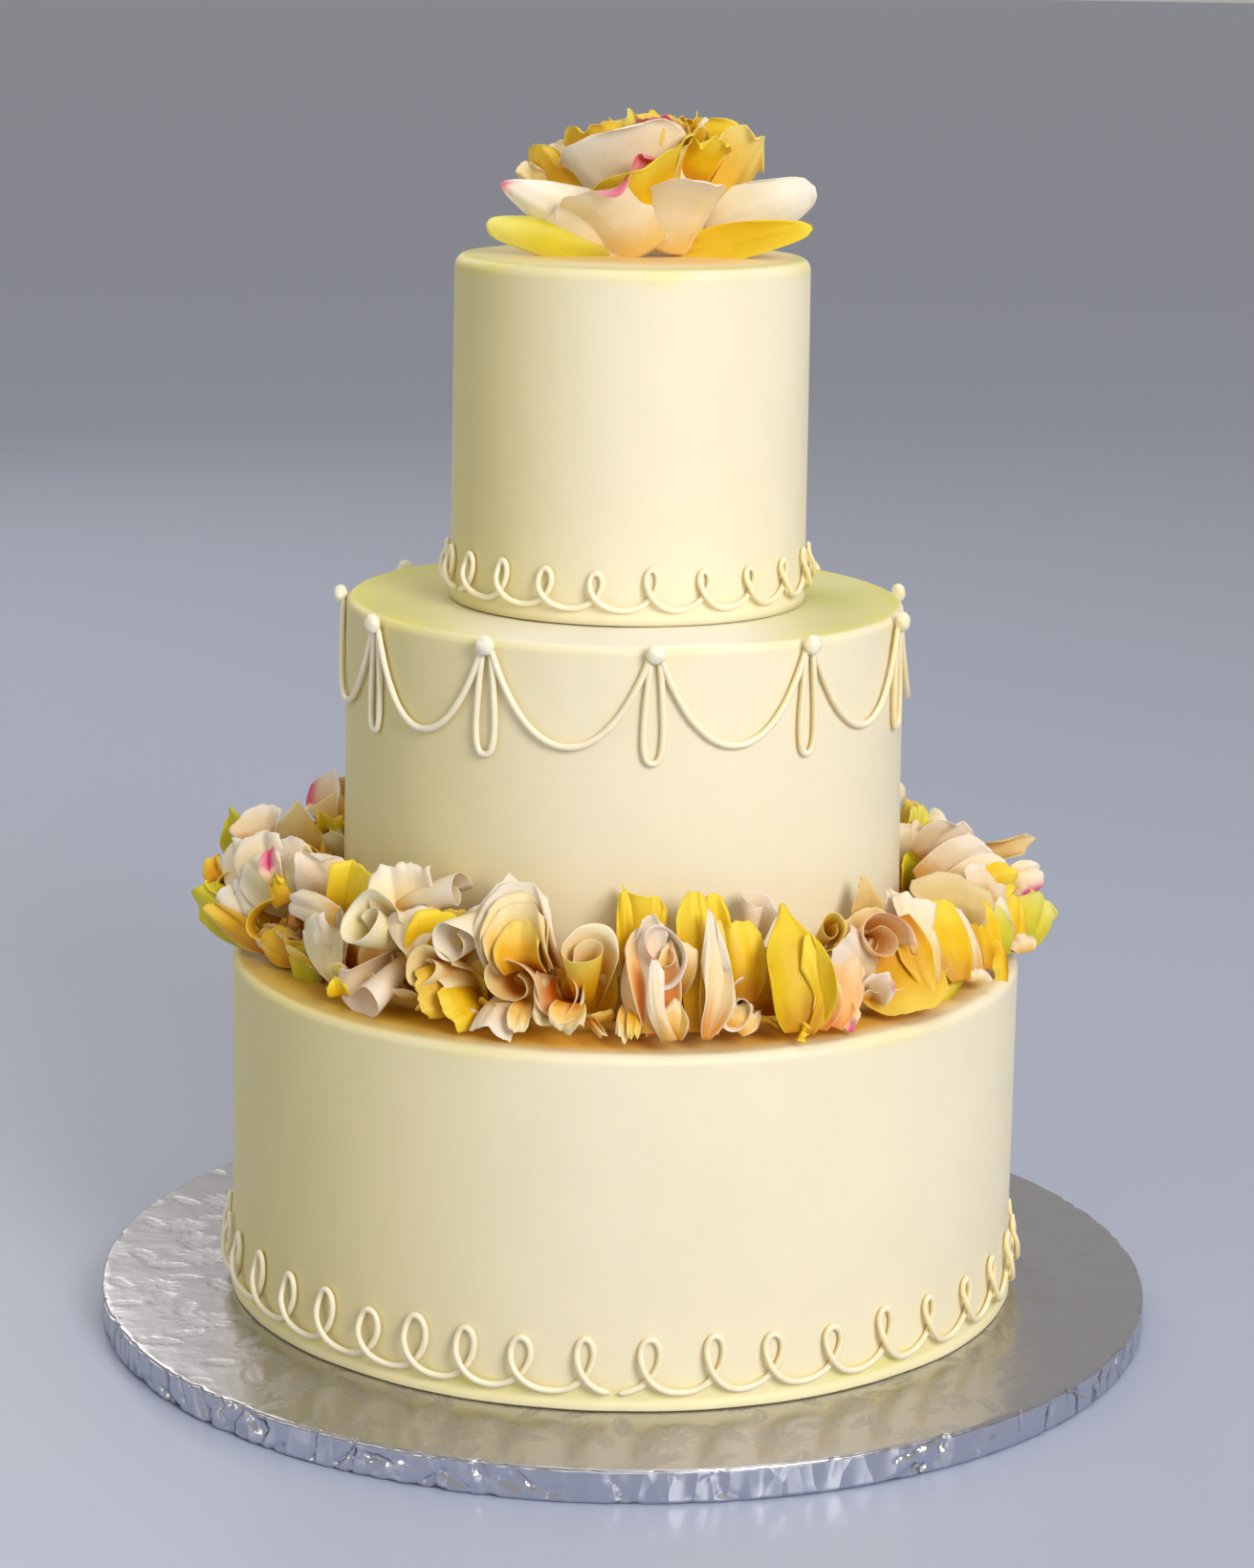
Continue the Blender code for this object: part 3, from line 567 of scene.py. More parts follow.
def beadSkin(tier, centre, seed):
    # a ball: along = R sin p cos t, height = R cos p, depth = D sin p sin t, each (1 + ripple)
    look = garlandLook
    rows, sides = look["beadGrid"]
    polar, turn = np.meshgrid(np.linspace(0, np.pi, rows)[1:-1], np.linspace(0, 2 * np.pi, sides, endpoint=False),
                              indexing="ij")
    swirl = 0.05 * np.sin(3 * turn + 5 * polar + seed)
    swirl = swirl + 0.035 * gentleNoise(seed, np.cos(turn) * 4, polar * 5)
    ripple = (1 + swirl * np.sin(polar)) * 0.98
    along = centre + look["radius"] * np.sin(polar) * np.cos(turn) * ripple
    height = look["height"] + look["radius"] * np.cos(polar) * ripple
    depth = gap + look["depth"] * (1 + np.sin(polar) * np.sin(turn) * ripple)
    points = wallPoint(tier, along, height, depth).reshape(-1, 3)
    poles = wallPoint(tier, np.array([centre, centre]), look["height"] + look["radius"] * np.array([1, -1]) * 0.98,
                      np.full(2, gap + look["depth"]))
    # the side that faces left takes the yellow dust and painted shade
    leftward = np.concatenate([(-np.cos(turn) * np.sin(polar)).ravel(), [0, 0]])
    tones = blendTone(paint(pipingTints["bead"]), paint(pipingTints["dustAndShade"]), 0.35 * ease(leftward, 0.2, 1))
    return dict(points=np.concatenate([points, poles]), quads=gridQuads(rows - 2, sides, True),
                triangles=endFans(rows - 2, sides), tones=tones)


def garlandSkins():
    # swag: a catenary, sag (cosh 1.6 - cosh 1.6 s) / (cosh 1.6 - 1); drop: down one side and up
    # the other, narrow at the bead and round at the bottom
    look, tier = garlandLook, tierLook["tier_middle"]
    centres = np.sort(np.radians(look["beads"])) * tier["foot"]
    around, depth = 2 * np.pi * tier["foot"], gap + wallShare * look["thread"]
    draw = np.random.default_rng(17)
    skins = []
    for i, centre in enumerate(centres):
        t = np.linspace(-1, 1, 61)
        lean = draw.uniform(-0.5, 0.5) * mm
        wide = look["width"] * np.sign(t) * np.sin(np.minimum(abs(t) * 1.35, 1.0) * np.pi / 2) * (1 - 0.62 * t ** 4)
        fall = look["height"] - 1.2 * mm - (look["drop"] - 1.2 * mm) * (1 - abs(t) ** 2.6)
        path = np.column_stack([centre + wide * draw.uniform(0.88, 1.02) + lean * (1 - t ** 2), fall,
                                np.full(61, depth)])
        skins.append(threadSkin(tier, path, look["thread"] * 0.92, 50 + i))
        later = centres[(i + 1) % len(centres)] + (around if i + 1 == len(centres) else 0.0)
        s = np.linspace(-1, 1, 70)
        sag = look["swag"] * (np.cosh(1.6) - np.cosh(1.6 * s)) / (np.cosh(1.6) - 1)
        path = np.column_stack([(centre + later) / 2 + s * ((later - centre) / 2 - 1.4 * mm),
                                look["height"] - 0.4 * mm - sag * draw.uniform(0.97, 1.02),
                                np.full(70, depth + 0.35 * mm)])
        skins.append(threadSkin(tier, path, look["thread"] * 0.95, 80 + i))
        skins.append(beadSkin(tier, centre, 110 + i))
    return skins


putPiece("garland_thread", garlandSkins(), piping, ["garland"])
print("piping done")

# Petals. A style gives both faces of a petal: colour at the foot, in the middle and at the lip. The
# darker, warmer foot is partly the petal's own deeper base and partly painted shade and bounce light
# deep between the petals and in the throats; the paler lip is partly the petal's own pale edge and
# partly painted light on the thin rim
petalStyles = {
    "white": ("d88c20 f6dcac fceed8", "e0a848 f8e2b8 fceed8"),
    "shell": ("e8bc60 f6e6c0 fbf4e4", "ecc470 f6e8c8 fbf4e4"),
    "cream": ("dc8c08 f2c468 fae6b4", "e09c28 f4cc7c fae8bc"),
    "ivory": ("b89414 e8d080 f8eecc", "ccac38 eed890 f8eecc"),
    "butter": ("d48000 eeb428 f8da70", "d89008 f0bc38 f8de84"),
    "yellow": ("c88000 f0bc00 fadc38", "d08c00 f2c008 fadc44"),
    "golden": ("b86c00 e0a000 f2c83c", "c47800 e4a804 f2cc4c"),
    "lemon": ("a89808 d8c828 ecdf6c", "b4a010 dccc34 ece078"),
    "olive": ("7c7000 bcb008 d8cc20", "8c7c00 c0b410 dcd02c"),
    "peach": ("e87820 f4b468 fcdcac", "e88c38 f6bc7c fcdeb4"),
    "blush": ("cc8c30 f0d4ac f8e8d6", "d8a050 f2d8b4 f8ead8"),
    "amber": ("983c00 e89828 f6dc9c", "c87c00 eeb448 f8e0ac"),
    "throat": ("6c1000 e87c20 f8cc98", "d07c20 f0b878 fae0c0"),
    "tan": ("a87820 dcb874 eacf98", "b08838 dfc080 ead2a0"),
    # grey: a white darkened, painted shade for white petals that stand in shade
    "grey": ("9c8438 dccc94 f4e8c4", "b09850 e0d09c f4eac8"),
    "coneYellow": ("d08000 f0c054 faeac4", "cc8400 ecb004 f6d458"),
    "limeCup": ("cc9000 e4be20 f4d434", "c88400 eab404 f6d430"),
}
rosyTone = {"deep": "e03c78", "soft": "f4a0b0"}
# Petals are given in millimetres and degrees, and a petal's own values come before these. curl and
# roll are the radius and the turn of its lip, tip and point how far and how sharply the lip's
# corners fall, side how far the edges turn back from edgeFrom on, fold how deep it is creased, deep
# how far up from the foot its foot colour, partly painted shade, reaches
petalLook = {"thickness": 0.34, "edgeThickness": 0.16, "along": 30, "across": 30, "spin": 0, "deep": 0.45, "rosy": (),
             "hollow": 1.0}
rollLook = {"inside": 90, "coilInside": 0.62, "flare": 0.8, "curl": 4.0, "roll": 42, "sink": 0.10, "tip": 0.22,
            "slant": 1.2, "nick": 0.4, "ruffle": 0.5, "waves": 2.1, "peel": 2.2}
openLook = {"footShare": 0.5, "widest": 0.7, "narrowing": 0.1, "edgeFrom": 0.72, "side": 28, "curl": 3.0, "roll": 50,
            "tip": 0.14, "point": 2.6, "nick": 0.5, "bow": 1.5, "ruffle": 0.9, "waves": 4.5, "fold": 0.9,
            "sway": 0.0, "bend": 0}
rolledFrom = 260  # turn from which a petal is a roll


def row(foot, mouth, radii, turn, style, **more):
    # a petal bent round a cone: foot and mouth are (azimuth, radius, height), radii those of the
    # cone at its foot and mouth
    return dict(foot=foot, mouth=mouth, radii=radii, turn=turn, style=style, **more)


def leaf(foot, mouth, wide, cup, style, **more):
    # an open petal: wide is half its width, cup the angle that it bends through across
    radius = wide / max(math.radians(abs(cup)) / 2, 0.05)
    return row(foot, mouth, (radius, radius), abs(cup), style, wide=wide, hollow=math.copysign(1, cup), **more)


def rollShape(petal, length, across, along):
    # u runs 0 to 1 from the inner end of the spiral to the outer: angle = turn / 2 - (turn +
    # inside) (1 - u), radius = cone(v) (1 - coilInside (1 - u)). Past v = edge the profile leaves on an
    # arc of radius curl that turns by roll, most on the outermost layer; the free end peels off
    draw = np.random.default_rng(petal["seed"])
    u, v = np.linspace(0, 1, across)[:, None], np.linspace(0, 1, along)[None, :]
    narrow, wide = petal["radii"][0] * mm, petal["radii"][1] * mm
    angle = np.radians(petal["turn"] / 2 - (petal["turn"] + petal["inside"]) * (1 - u))
    outer = ease(u, 0.25, 0.95)
    curl = petal["curl"] * mm * (0.35 + 0.65 * outer) * (1 + 0.25 * np.sin(angle * 1.3 + draw.uniform(0, 6.28)))
    roll = np.radians(petal["roll"]) * (0.25 + 0.75 * outer)
    roll = roll * (1 + 0.55 * np.sin(angle * 1.7 + draw.uniform(0, 6.28)))
    edge = 1 - np.clip(curl * roll / length, 0.05, 0.5)
    past = np.clip((v - edge) / (1 - edge), 0, 1)
    arc = roll * past
    share = 1 - petal["coilInside"] * (1 - u)
    cone = narrow + (wide - narrow) * np.minimum(v, edge) ** petal["flare"]
    radius = cone * share + curl * (1 - np.cos(arc))
    tall = 1 - petal["sink"] * (1 - u) - petal["tip"] * ease(u, 0.84, 1.0) ** 1.5 - 0.3 * ease(u, 0.08, 0)
    lean = petal["slant"] * mm * np.cos(angle - draw.uniform(-0.8, 0.8)) * v
    height = length * np.minimum(v, edge) * tall + curl * np.sin(arc) + lean
    height = height + petal["nick"] * mm * gentleNoise(petal["seed"] + 3, angle * 1.3, waves=5) * v ** 3
    soft = 0.55 * mm * gentleNoise(petal["seed"] + 1, angle * 0.9, v * 2.2) * (0.25 + v) * share
    ruffle = petal["ruffle"] * mm * v ** 2 * np.sin(angle * petal["waves"] + draw.uniform(0, 6.28))
    peel = petal["peel"] * mm * ease(u, 0.86, 1.0) ** 1.5 * (0.3 + 0.7 * v)
    radius = np.maximum(radius + soft + ruffle + peel, 0.3 * mm)
    squeeze = petal.get("oval", draw.uniform(-0.10, 0.10))
    x, y = radius * np.sin(angle) * (1 + squeeze), radius * np.cos(angle) * (1 - squeeze)
    return np.stack(np.broadcast_arrays(x, y, height), -1), 2 * u - 1, v


def openShape(petal, length, across, along):
    # u runs -1 to 1 across, v 0 to 1 from foot to mouth. Half width = widest (foot share + rest
    # sin) and less again near the mouth; across, the direction turns by cup and back at the edges,
    # and x and y are the running sums of its cosine and sine; along, the spine bows and the lip
    # leaves on an arc of radius curl; height = length v (1 - tip |u|^point)
    draw = np.random.default_rng(petal["seed"])
    u, v = np.linspace(-1, 1, across)[:, None], np.linspace(0, 1, along)[None, :]
    narrow, wide = petal["radii"][0] * mm, petal["radii"][1] * mm
    bend = np.radians(petal["turn"]) / 2
    cone = narrow + (wide - narrow) * v ** 0.8
    low = petal["footShare"]
    outline = (low + (1 - low) * np.sin(np.pi / 2 * np.clip(v / petal["widest"], 0, 1)))
    outline = outline * (1 - petal["narrowing"] * ease(v, 0.62, 1.0) ** 2)
    half = (petal["wide"] * mm if "wide" in petal else cone * bend) * outline
    start = petal["edgeFrom"]
    back = np.radians(petal["side"]) * (0.3 + 0.7 * v) * (1 + 0.35 * np.sign(u) * draw.uniform(-1, 1))
    beyond = np.clip((abs(u) - start) / (1 - start), 0, 1)
    heading = bend * outline * np.clip(abs(u) / start, 0, 1) * np.sign(u) - np.sign(u) * back * beyond ** 1.5
    heading = heading * np.ones_like(v)
    midway = (heading[1:] + heading[:-1]) / 2
    step = np.broadcast_to(half * 2 / (across - 1), midway.shape)
    zero = np.zeros((1, along))
    x = np.concatenate([zero, np.cumsum(np.cos(midway) * step, axis=0)])
    y = -np.concatenate([zero, np.cumsum(np.sin(midway) * step, axis=0)])
    centre = across // 2
    x, y = x - x[centre], y - y[centre]
    hollow = petal["hollow"]
    y = y * hollow + (0.0 if "wide" in petal else cone)
    curl = petal["curl"] * mm * (1 + 0.3 * np.sin(u * draw.uniform(2, 5) + draw.uniform(0, 6.28)))
    roll = np.radians(petal["roll"]) * (1 + 0.8 * np.sin(u * draw.uniform(2, 6) + draw.uniform(0, 6.28)))
    edge = 1 - np.clip(curl * roll / length, 0.02, 0.45)
    arc = roll * np.clip((v - edge) / (1 - edge), 0, 1)
    height = length * np.minimum(v, edge) * (1 - petal["tip"] * abs(u) ** petal["point"]) + curl * np.sin(arc)
    height = height + petal["nick"] * mm * gentleNoise(petal["seed"] + 3, u * 5, waves=5, lowest=1.5) * v ** 2
    y = y + curl * (1 - np.cos(arc)) * hollow - petal["bow"] * mm * np.sin(np.pi * v)
    ruffle = petal["ruffle"] * mm * v ** 2 * np.sin(u * petal["waves"] + draw.uniform(0, 6.28))
    pleatAt = petal.get("pleat", draw.uniform(-0.5, 0.5))
    crease = petal["fold"] * mm * np.exp(-abs((u - pleatAt) / 0.16) ** 1.3) * ease(v, 0.1, 0.75)
    y = y + ruffle + crease + 0.8 * mm * v * gentleNoise(petal["seed"] + 1, u * 2.6, v * 2.4)
    x = x + petal["sway"] * mm * np.sin(np.pi * v)
    twist = np.radians(petal.get("twist", draw.uniform(-14, 14))) * (v - 0.4)
    x, y = x * np.cos(twist) + y * np.sin(twist), -x * np.sin(twist) + y * np.cos(twist)
    nod = np.radians(petal["bend"])
    if nod > 0:
        middle = 0.0 if "wide" in petal else cone
        reach = length / (2 * np.sin(nod / 2))
        turned = nod * height / length - nod / 2
        y, height = ((y - middle + reach) * np.cos(turned) - reach * np.cos(nod / 2),
                     (y - middle + reach) * np.sin(turned) + length / 2)
    return np.stack(np.broadcast_arrays(x, y, height), -1), u, v


def petalTones(petal, u, v, face):
    # foot to middle to lip by v, and to the lip colour at the side edges too, the foot's colour partly
    # painted shade and the lip's partly painted light; then rose colour where asked: (u, width, from v,
    # strength)
    foot, body, lipTone = (paint(code) for code in petalStyles[petal["style"]][face].split())
    u, v = np.broadcast_arrays(u, v)
    drift = 0.10 * gentleNoise(petal["seed"] + 5, u * 4, v * 4)
    edgeward = np.clip(np.maximum(v, abs(u) ** 4 * 0.9) + drift * 0.6, 0, 1)
    tones = blendTone(foot, body, ease(v + drift, 0.0, petal["deep"]))
    tones = blendTone(tones, lipTone, ease(edgeward, 0.5, 1.0))
    for at, width, start, strength in petal["rosy"]:
        near = np.exp(-((u - at) / width) ** 2) * ease(v + drift, start, min(start + 0.2, 1.0))
        tones = blendTone(tones, paint(rosyTone["soft"]), np.clip(1.3 * near * strength, 0, 1))
        tones = blendTone(tones, paint(rosyTone["deep"]), np.clip(near ** 2 * strength, 0, 1))
    return tones


def sheetSkin(petal, foot, mouth, side):
    # both faces stand half a thickness off the middle sheet along its normal, and a rim joins them
    length = np.linalg.norm(mouth - foot)
    rolled = petal["turn"] > rolledFrom
    petal = {**petalLook, **(rollLook if rolled else openLook), **petal}
    along, across = petal["along"], petal["across"] + 1
    if rolled:
        across = int((petal["turn"] + petal["inside"]) / 240 * across)
    middle, u, v = (rollShape if rolled else openShape)(petal, length, across, along)
    ahead = (mouth - foot) / length
    aside = side - (side @ ahead) * ahead
    aside /= np.linalg.norm(aside)
    back = np.cross(ahead, aside)
    spin = np.radians(petal["spin"])
    right, behind = np.cos(spin) * aside + np.sin(spin) * back, -np.sin(spin) * aside + np.cos(spin) * back
    points = foot + middle[..., :1] * right + middle[..., 1:2] * behind + middle[..., 2:] * ahead
    normal = np.cross(np.gradient(points, axis=1), np.gradient(points, axis=0))
    normal /= np.maximum(np.linalg.norm(normal, axis=2), 1e-12)[..., None]
    uu, vv = np.broadcast_arrays(u, v)
    thin = ease(np.maximum(vv, abs(uu)), 0.8, 1.0)
    half = (petal["thickness"] + (petal["edgeThickness"] - petal["thickness"]) * thin)[..., None] * mm / 2
    outer, inner = (points + normal * half).reshape(-1, 3), (points - normal * half).reshape(-1, 3)
    count = across * along
    cells = gridQuads(across, along)  # (i, j), (i, j + 1), (i + 1, j + 1), (i + 1, j)
    border = np.concatenate([np.arange(across - 1) * along, (across - 1) * along + np.arange(along - 1),
                             np.arange(across - 1, 0, -1) * along + along - 1, np.arange(along - 1, 0, -1)])
    after = np.roll(border, -1)
    rim = np.stack([after + count, border + count, border, after], 1)
    quads = np.concatenate([cells, cells[:, ::-1] + count, rim])
    faces = (1, 0) if petal["hollow"] > 0 else (0, 1)
    tones = np.concatenate([petalTones(petal, u, v, face).reshape(-1, 3) for face in faces])
    place = np.column_stack([uu.ravel() * petal["turn"] / 300 + petal["seed"] * 0.37, vv.ravel()])
    return dict(points=np.concatenate([outer, inner]), quads=quads, tones=tones, places=np.tile(place, (2, 1)))


def fromPolar(place):
    azimuth = math.radians(place[0])
    return np.array([place[1] * math.sin(azimuth), -place[1] * math.cos(azimuth), place[2]]) * mm


def petalSkins(petal, origin=None):
    # the petal itself and its layers: each layer changes some of the petal's values
    skins = []
    for i, change in enumerate([{}] + petal.get("layers", [])):
        one = {**petal, **change}
        one["seed"] = petal["seed"] + 13 * i
        azimuth = math.radians(one["foot"][0] if origin is None else one["mouth"][0])
        side = np.array([math.cos(azimuth), math.sin(azimuth), 0.0])
        start = np.zeros(3) if origin is None else origin
        if "face" in one:
            # the width runs square to the petal's length and to the way that it faces
            face = math.radians(one["face"])
            length = fromPolar(one["mouth"]) - fromPolar(one["foot"])
            side = np.cross([-math.sin(face), math.cos(face), -0.25], length)
            side /= np.linalg.norm(side)
        if origin is not None:
            one.setdefault("spin", 180)
        skins.append(sheetSkin(one, start + fromPolar(one["foot"]), start + fromPolar(one["mouth"]), side))
    return skins


# Ring petals that stand for the frame's solids, left to right
ringPetals = {
    "petal_yellow_tall_left": leaf((-57.7, 120, 149), (-54.2, 121, 190), 11.2, 60, "yellow", footShare=0.45,
        narrowing=0, tip=0.03, pleat=-0.5, fold=2.6, roll=40, face=-30),
    "roll_ivory_left": row((-42, 119, 165), (-43, 141, 178), (3.5, 12.5), 440, "ivory", spin=150, roll=70),
    "roll_blush_left": row((-39.2, 126, 162), (-41, 145, 149), (5.5, 12), 330, "blush", spin=200, roll=60, curl=3,
        oval=0.2, tip=0.1),
    "petal_cream_back": leaf((-38.7, 121, 168), (-42.4, 122, 196), 13.8, 70, "white", footShare=0.45, roll=70, curl=3,
        fold=1.8, tip=0.05, nick=1.4, face=-20),
    "roll_white_back": row((-42.5, 122, 180), (-29.5, 119, 189), (3.4, 8.5), 330, "white", spin=200, roll=8,
        tip=0.04),
    "roll_amber": row((-27, 118, 158), (-31, 144, 166), (3, 8.5), 390, "amber", spin=120),
    "roll_white_wide": row((-23, 113, 180), (-26.5, 143, 175), (5, 9), 350, "white", spin=100, tip=0.1),
    "fan_cream": leaf((-16.1, 122, 166), (-18.6, 124, 197), 20, 140, "white", roll=30, footShare=0.8, widest=0.5,
        narrowing=0.3, tip=0.2, nick=0.2, ruffle=0.4, face=-14, bow=4, side=60,
        layers=[dict(foot=(-15.3, 131, 168), mouth=(-16.9, 130, 191), wide=16.5, turn=150, style="cream"),
                dict(foot=(-14.9, 134, 168), mouth=(-15.9, 134, 186), wide=13, turn=160, style="butter")]),
    "roll_cream_spiral": row((-15, 116, 160), (-17, 145, 165), (3.5, 10.8), 420, "amber", spin=60),
    "roll_red_throat": row((-8.5, 119, 158), (-9.8, 145, 163), (2.5, 8.5), 300, "throat", spin=200, tip=0.1,
        inside=10, coilInside=0.25,
        layers=[dict(radii=(5, 11.5), turn=200, style="cream", spin=180, nick=1.2)]),
    "roll_rose_spiral": row((-6.9, 120, 151), (-6.1, 141, 181), (2.6, 11), 500, "coneYellow", spin=140),
    "petal_yellow_curl": row((2, 115, 150), (2, 115, 196), (4.4, 6.6), 330, "yellow", spin=170, tip=0.3, curl=3,
        roll=60, nick=0.2, inside=40, peel=1, slant=0.4, ruffle=0.2),
    "petal_white_ribbon": leaf((3.6, 145, 150), (3.5, 134, 190), 8.1, -90, "white", sway=-6, footShare=0.6,
        widest=0.45, narrowing=0.3, tip=0.18, roll=30, bow=-3, face=-14, side=50, twist=12),
    "roll_blush_tip": row((5.5, 118, 167), (5, 142, 180), (3, 9.6), 420, "blush", spin=20,
        rosy=[(-0.2, 0.16, 0.72, 0.9)]),
    "petal_yellow_tall": leaf((9.7, 141, 149), (11, 121, 195), 8.1, -90, "yellow", tip=0.21, roll=20, footShare=0.25,
        pleat=0.1, fold=2.4, sway=1.5),
    "petal_white_boat": leaf((10.8, 147, 148), (12.4, 132, 191), 7, 120, "white", tip=0.42, roll=10, footShare=0.2,
        narrowing=0.5, widest=0.5, sway=3, face=15, bow=2),
    "roll_white_low": row((17.5, 125, 154), (15.5, 146, 157), (4, 8), 340, "white", spin=160, nick=1.2),
    "petal_yellow_cup": leaf((18.6, 133, 156), (18.5, 124, 184), 9.8, -80, "yellow", tip=0.18, roll=20, footShare=0.3,
        face=10),
    "roll_blush_top": row((21.5, 116, 172), (22.5, 118, 191), (3.6, 6), 330, "blush", spin=40, curl=1.2),
    "petal_yellow_wide": leaf((24.8, 146, 148), (25.2, 127, 190), 16.9, 130, "limeCup", side=-70, edgeFrom=0.82,
        tip=0.42, roll=15, footShare=0.4, widest=0.5, narrowing=0.75, face=12, bow=4, deep=0.3, pleat=0.25, fold=1.6),
    "roll_small_spiral": row((36, 117, 170), (32.5, 135, 182), (3.2, 5.4), 480, "butter", spin=30, curl=1.6,
        inside=60, deep=0.12),
    "petal_peach_low": leaf((27.6, 147, 148), (29.8, 141, 165), 6.9, 110, "peach", tip=0.24, roll=20, footShare=0.3,
        face=15),
    "petal_peach_fold": leaf((30, 146, 148), (37.4, 129, 170), 10, -70, "peach", tip=0.18, roll=30, footShare=0.3,
        face=10),
    "roll_peach_spiral": row((46, 115, 166), (41.5, 139, 175), (3, 10.4), 430, "peach", spin=100, deep=0.3,
        rosy=[(0.7, 0.3, 0.8, 0.35)]),
    "petal_golden_wide": leaf((47.6, 126, 172), (45.1, 148, 148), 18.8, -50, "golden", footShare=0.5, widest=0.85,
        narrowing=0.1, tip=0.24, roll=20, face=20, bow=-2, ruffle=0.5),
    "petal_cream_fold": leaf((49.1, 137, 165), (56.3, 126, 182), 8.8, -60, "white", footShare=0.12, narrowing=0,
        widest=1, tip=0.03, roll=30, face=20),
    "petal_yellow_right": leaf((58.8, 143, 151), (62.1, 126, 178), 10.5, -50, "yellow", tip=0.12, roll=30,
        footShare=0.35, face=25, point=1.3),
    "petal_yellow_far_right": leaf((72, 143, 148), (74, 131, 171), 11.2, -50, "yellow", tip=0.12, roll=30,
        footShare=0.35, face=30, fold=2.4),
    "petal_tan_hood": leaf((70, 132, 166), (76, 126, 181), 19.5, -60, "tan", tip=0.18, roll=20, face=30, point=1.3),
    "petal_yellow_round_right": leaf((86, 150, 148), (90, 158, 166), 13.5, -70, "lemon", tip=0.18, roll=40, face=34,
        fold=2.4),
    "roll_yellow_left": row((-86, 134, 152), (-72, 141, 161), (4, 9.5), 330, "golden", spin=190, deep=0.7, inside=30,
        coilInside=0.35, oval=-0.2),
    # a white petal given the grey style, painted shade
    "petal_white_left": leaf((-49.5, 138, 150), (-57.6, 135, 172), 10.6, -60, "grey", footShare=0.15, narrowing=0,
        widest=1, tip=0.06, roll=30, fold=2, face=-24),
    "roll_yellow_small": row((-94, 153, 160), (-84, 154, 169), (3, 6), 420, "yellow", spin=30),
    "petal_blush_point": leaf((-88, 140, 182), (-92, 141, 195), 12.8, 70, "blush", tip=0.42, roll=10, face=-30,
        point=1.3),
}


def hiddenRing():
    # the frame's two kinds in turn, with the draws that made them there
    draw = np.random.default_rng(11)
    first, last, count = 98.0, 260.0, 7
    made = {}
    for i in range(count):
        azimuth, nod = first + (last - first) / count * (i + 0.5), draw.uniform(-2, 2)
        if i % 2 == 0:
            made[f"roll_rear_{i + 1:02d}"] = row(
                (azimuth, 118, 158), (azimuth + nod, 141, 174 + nod), (3.5, 9.5 + nod / 3), 400,
                ("cream", "ivory", "coneYellow", "blush")[i // 2], spin=draw.uniform(0, 360), curl=2.2)
        else:
            made[f"petal_rear_{i + 1:02d}"] = row(
                (azimuth, 132, 147), (azimuth + nod, 124, 184 + nod), (8, 10), 190,
                ("yellow", "white", "golden")[i // 2], spin=draw.choice([0.0, 180.0]), tip=0.25)
    return made


def putPetals(petals, firstSeed, step, origin=None):
    # each petal becomes the piece that stands for the frame's solid of its name
    for i, (name, petal) in enumerate(petals.items()):
        petal["seed"] = firstSeed + step * i
        putPiece(name + "_flesh", petalSkins(petal, origin), petalFlesh, [name])


putPetals({**ringPetals, **hiddenRing()}, 200, 31)
print("ring petals done")


def between(foot, mouth, wide, cup, style, tip, roll, **more):
    # a coarser open petal; it turns its face to the azimuth face
    more.setdefault("face", foot[0] * 0.4)
    return leaf(foot, mouth, wide, cup, style, tip=tip, roll=roll, along=24, across=24, **more)


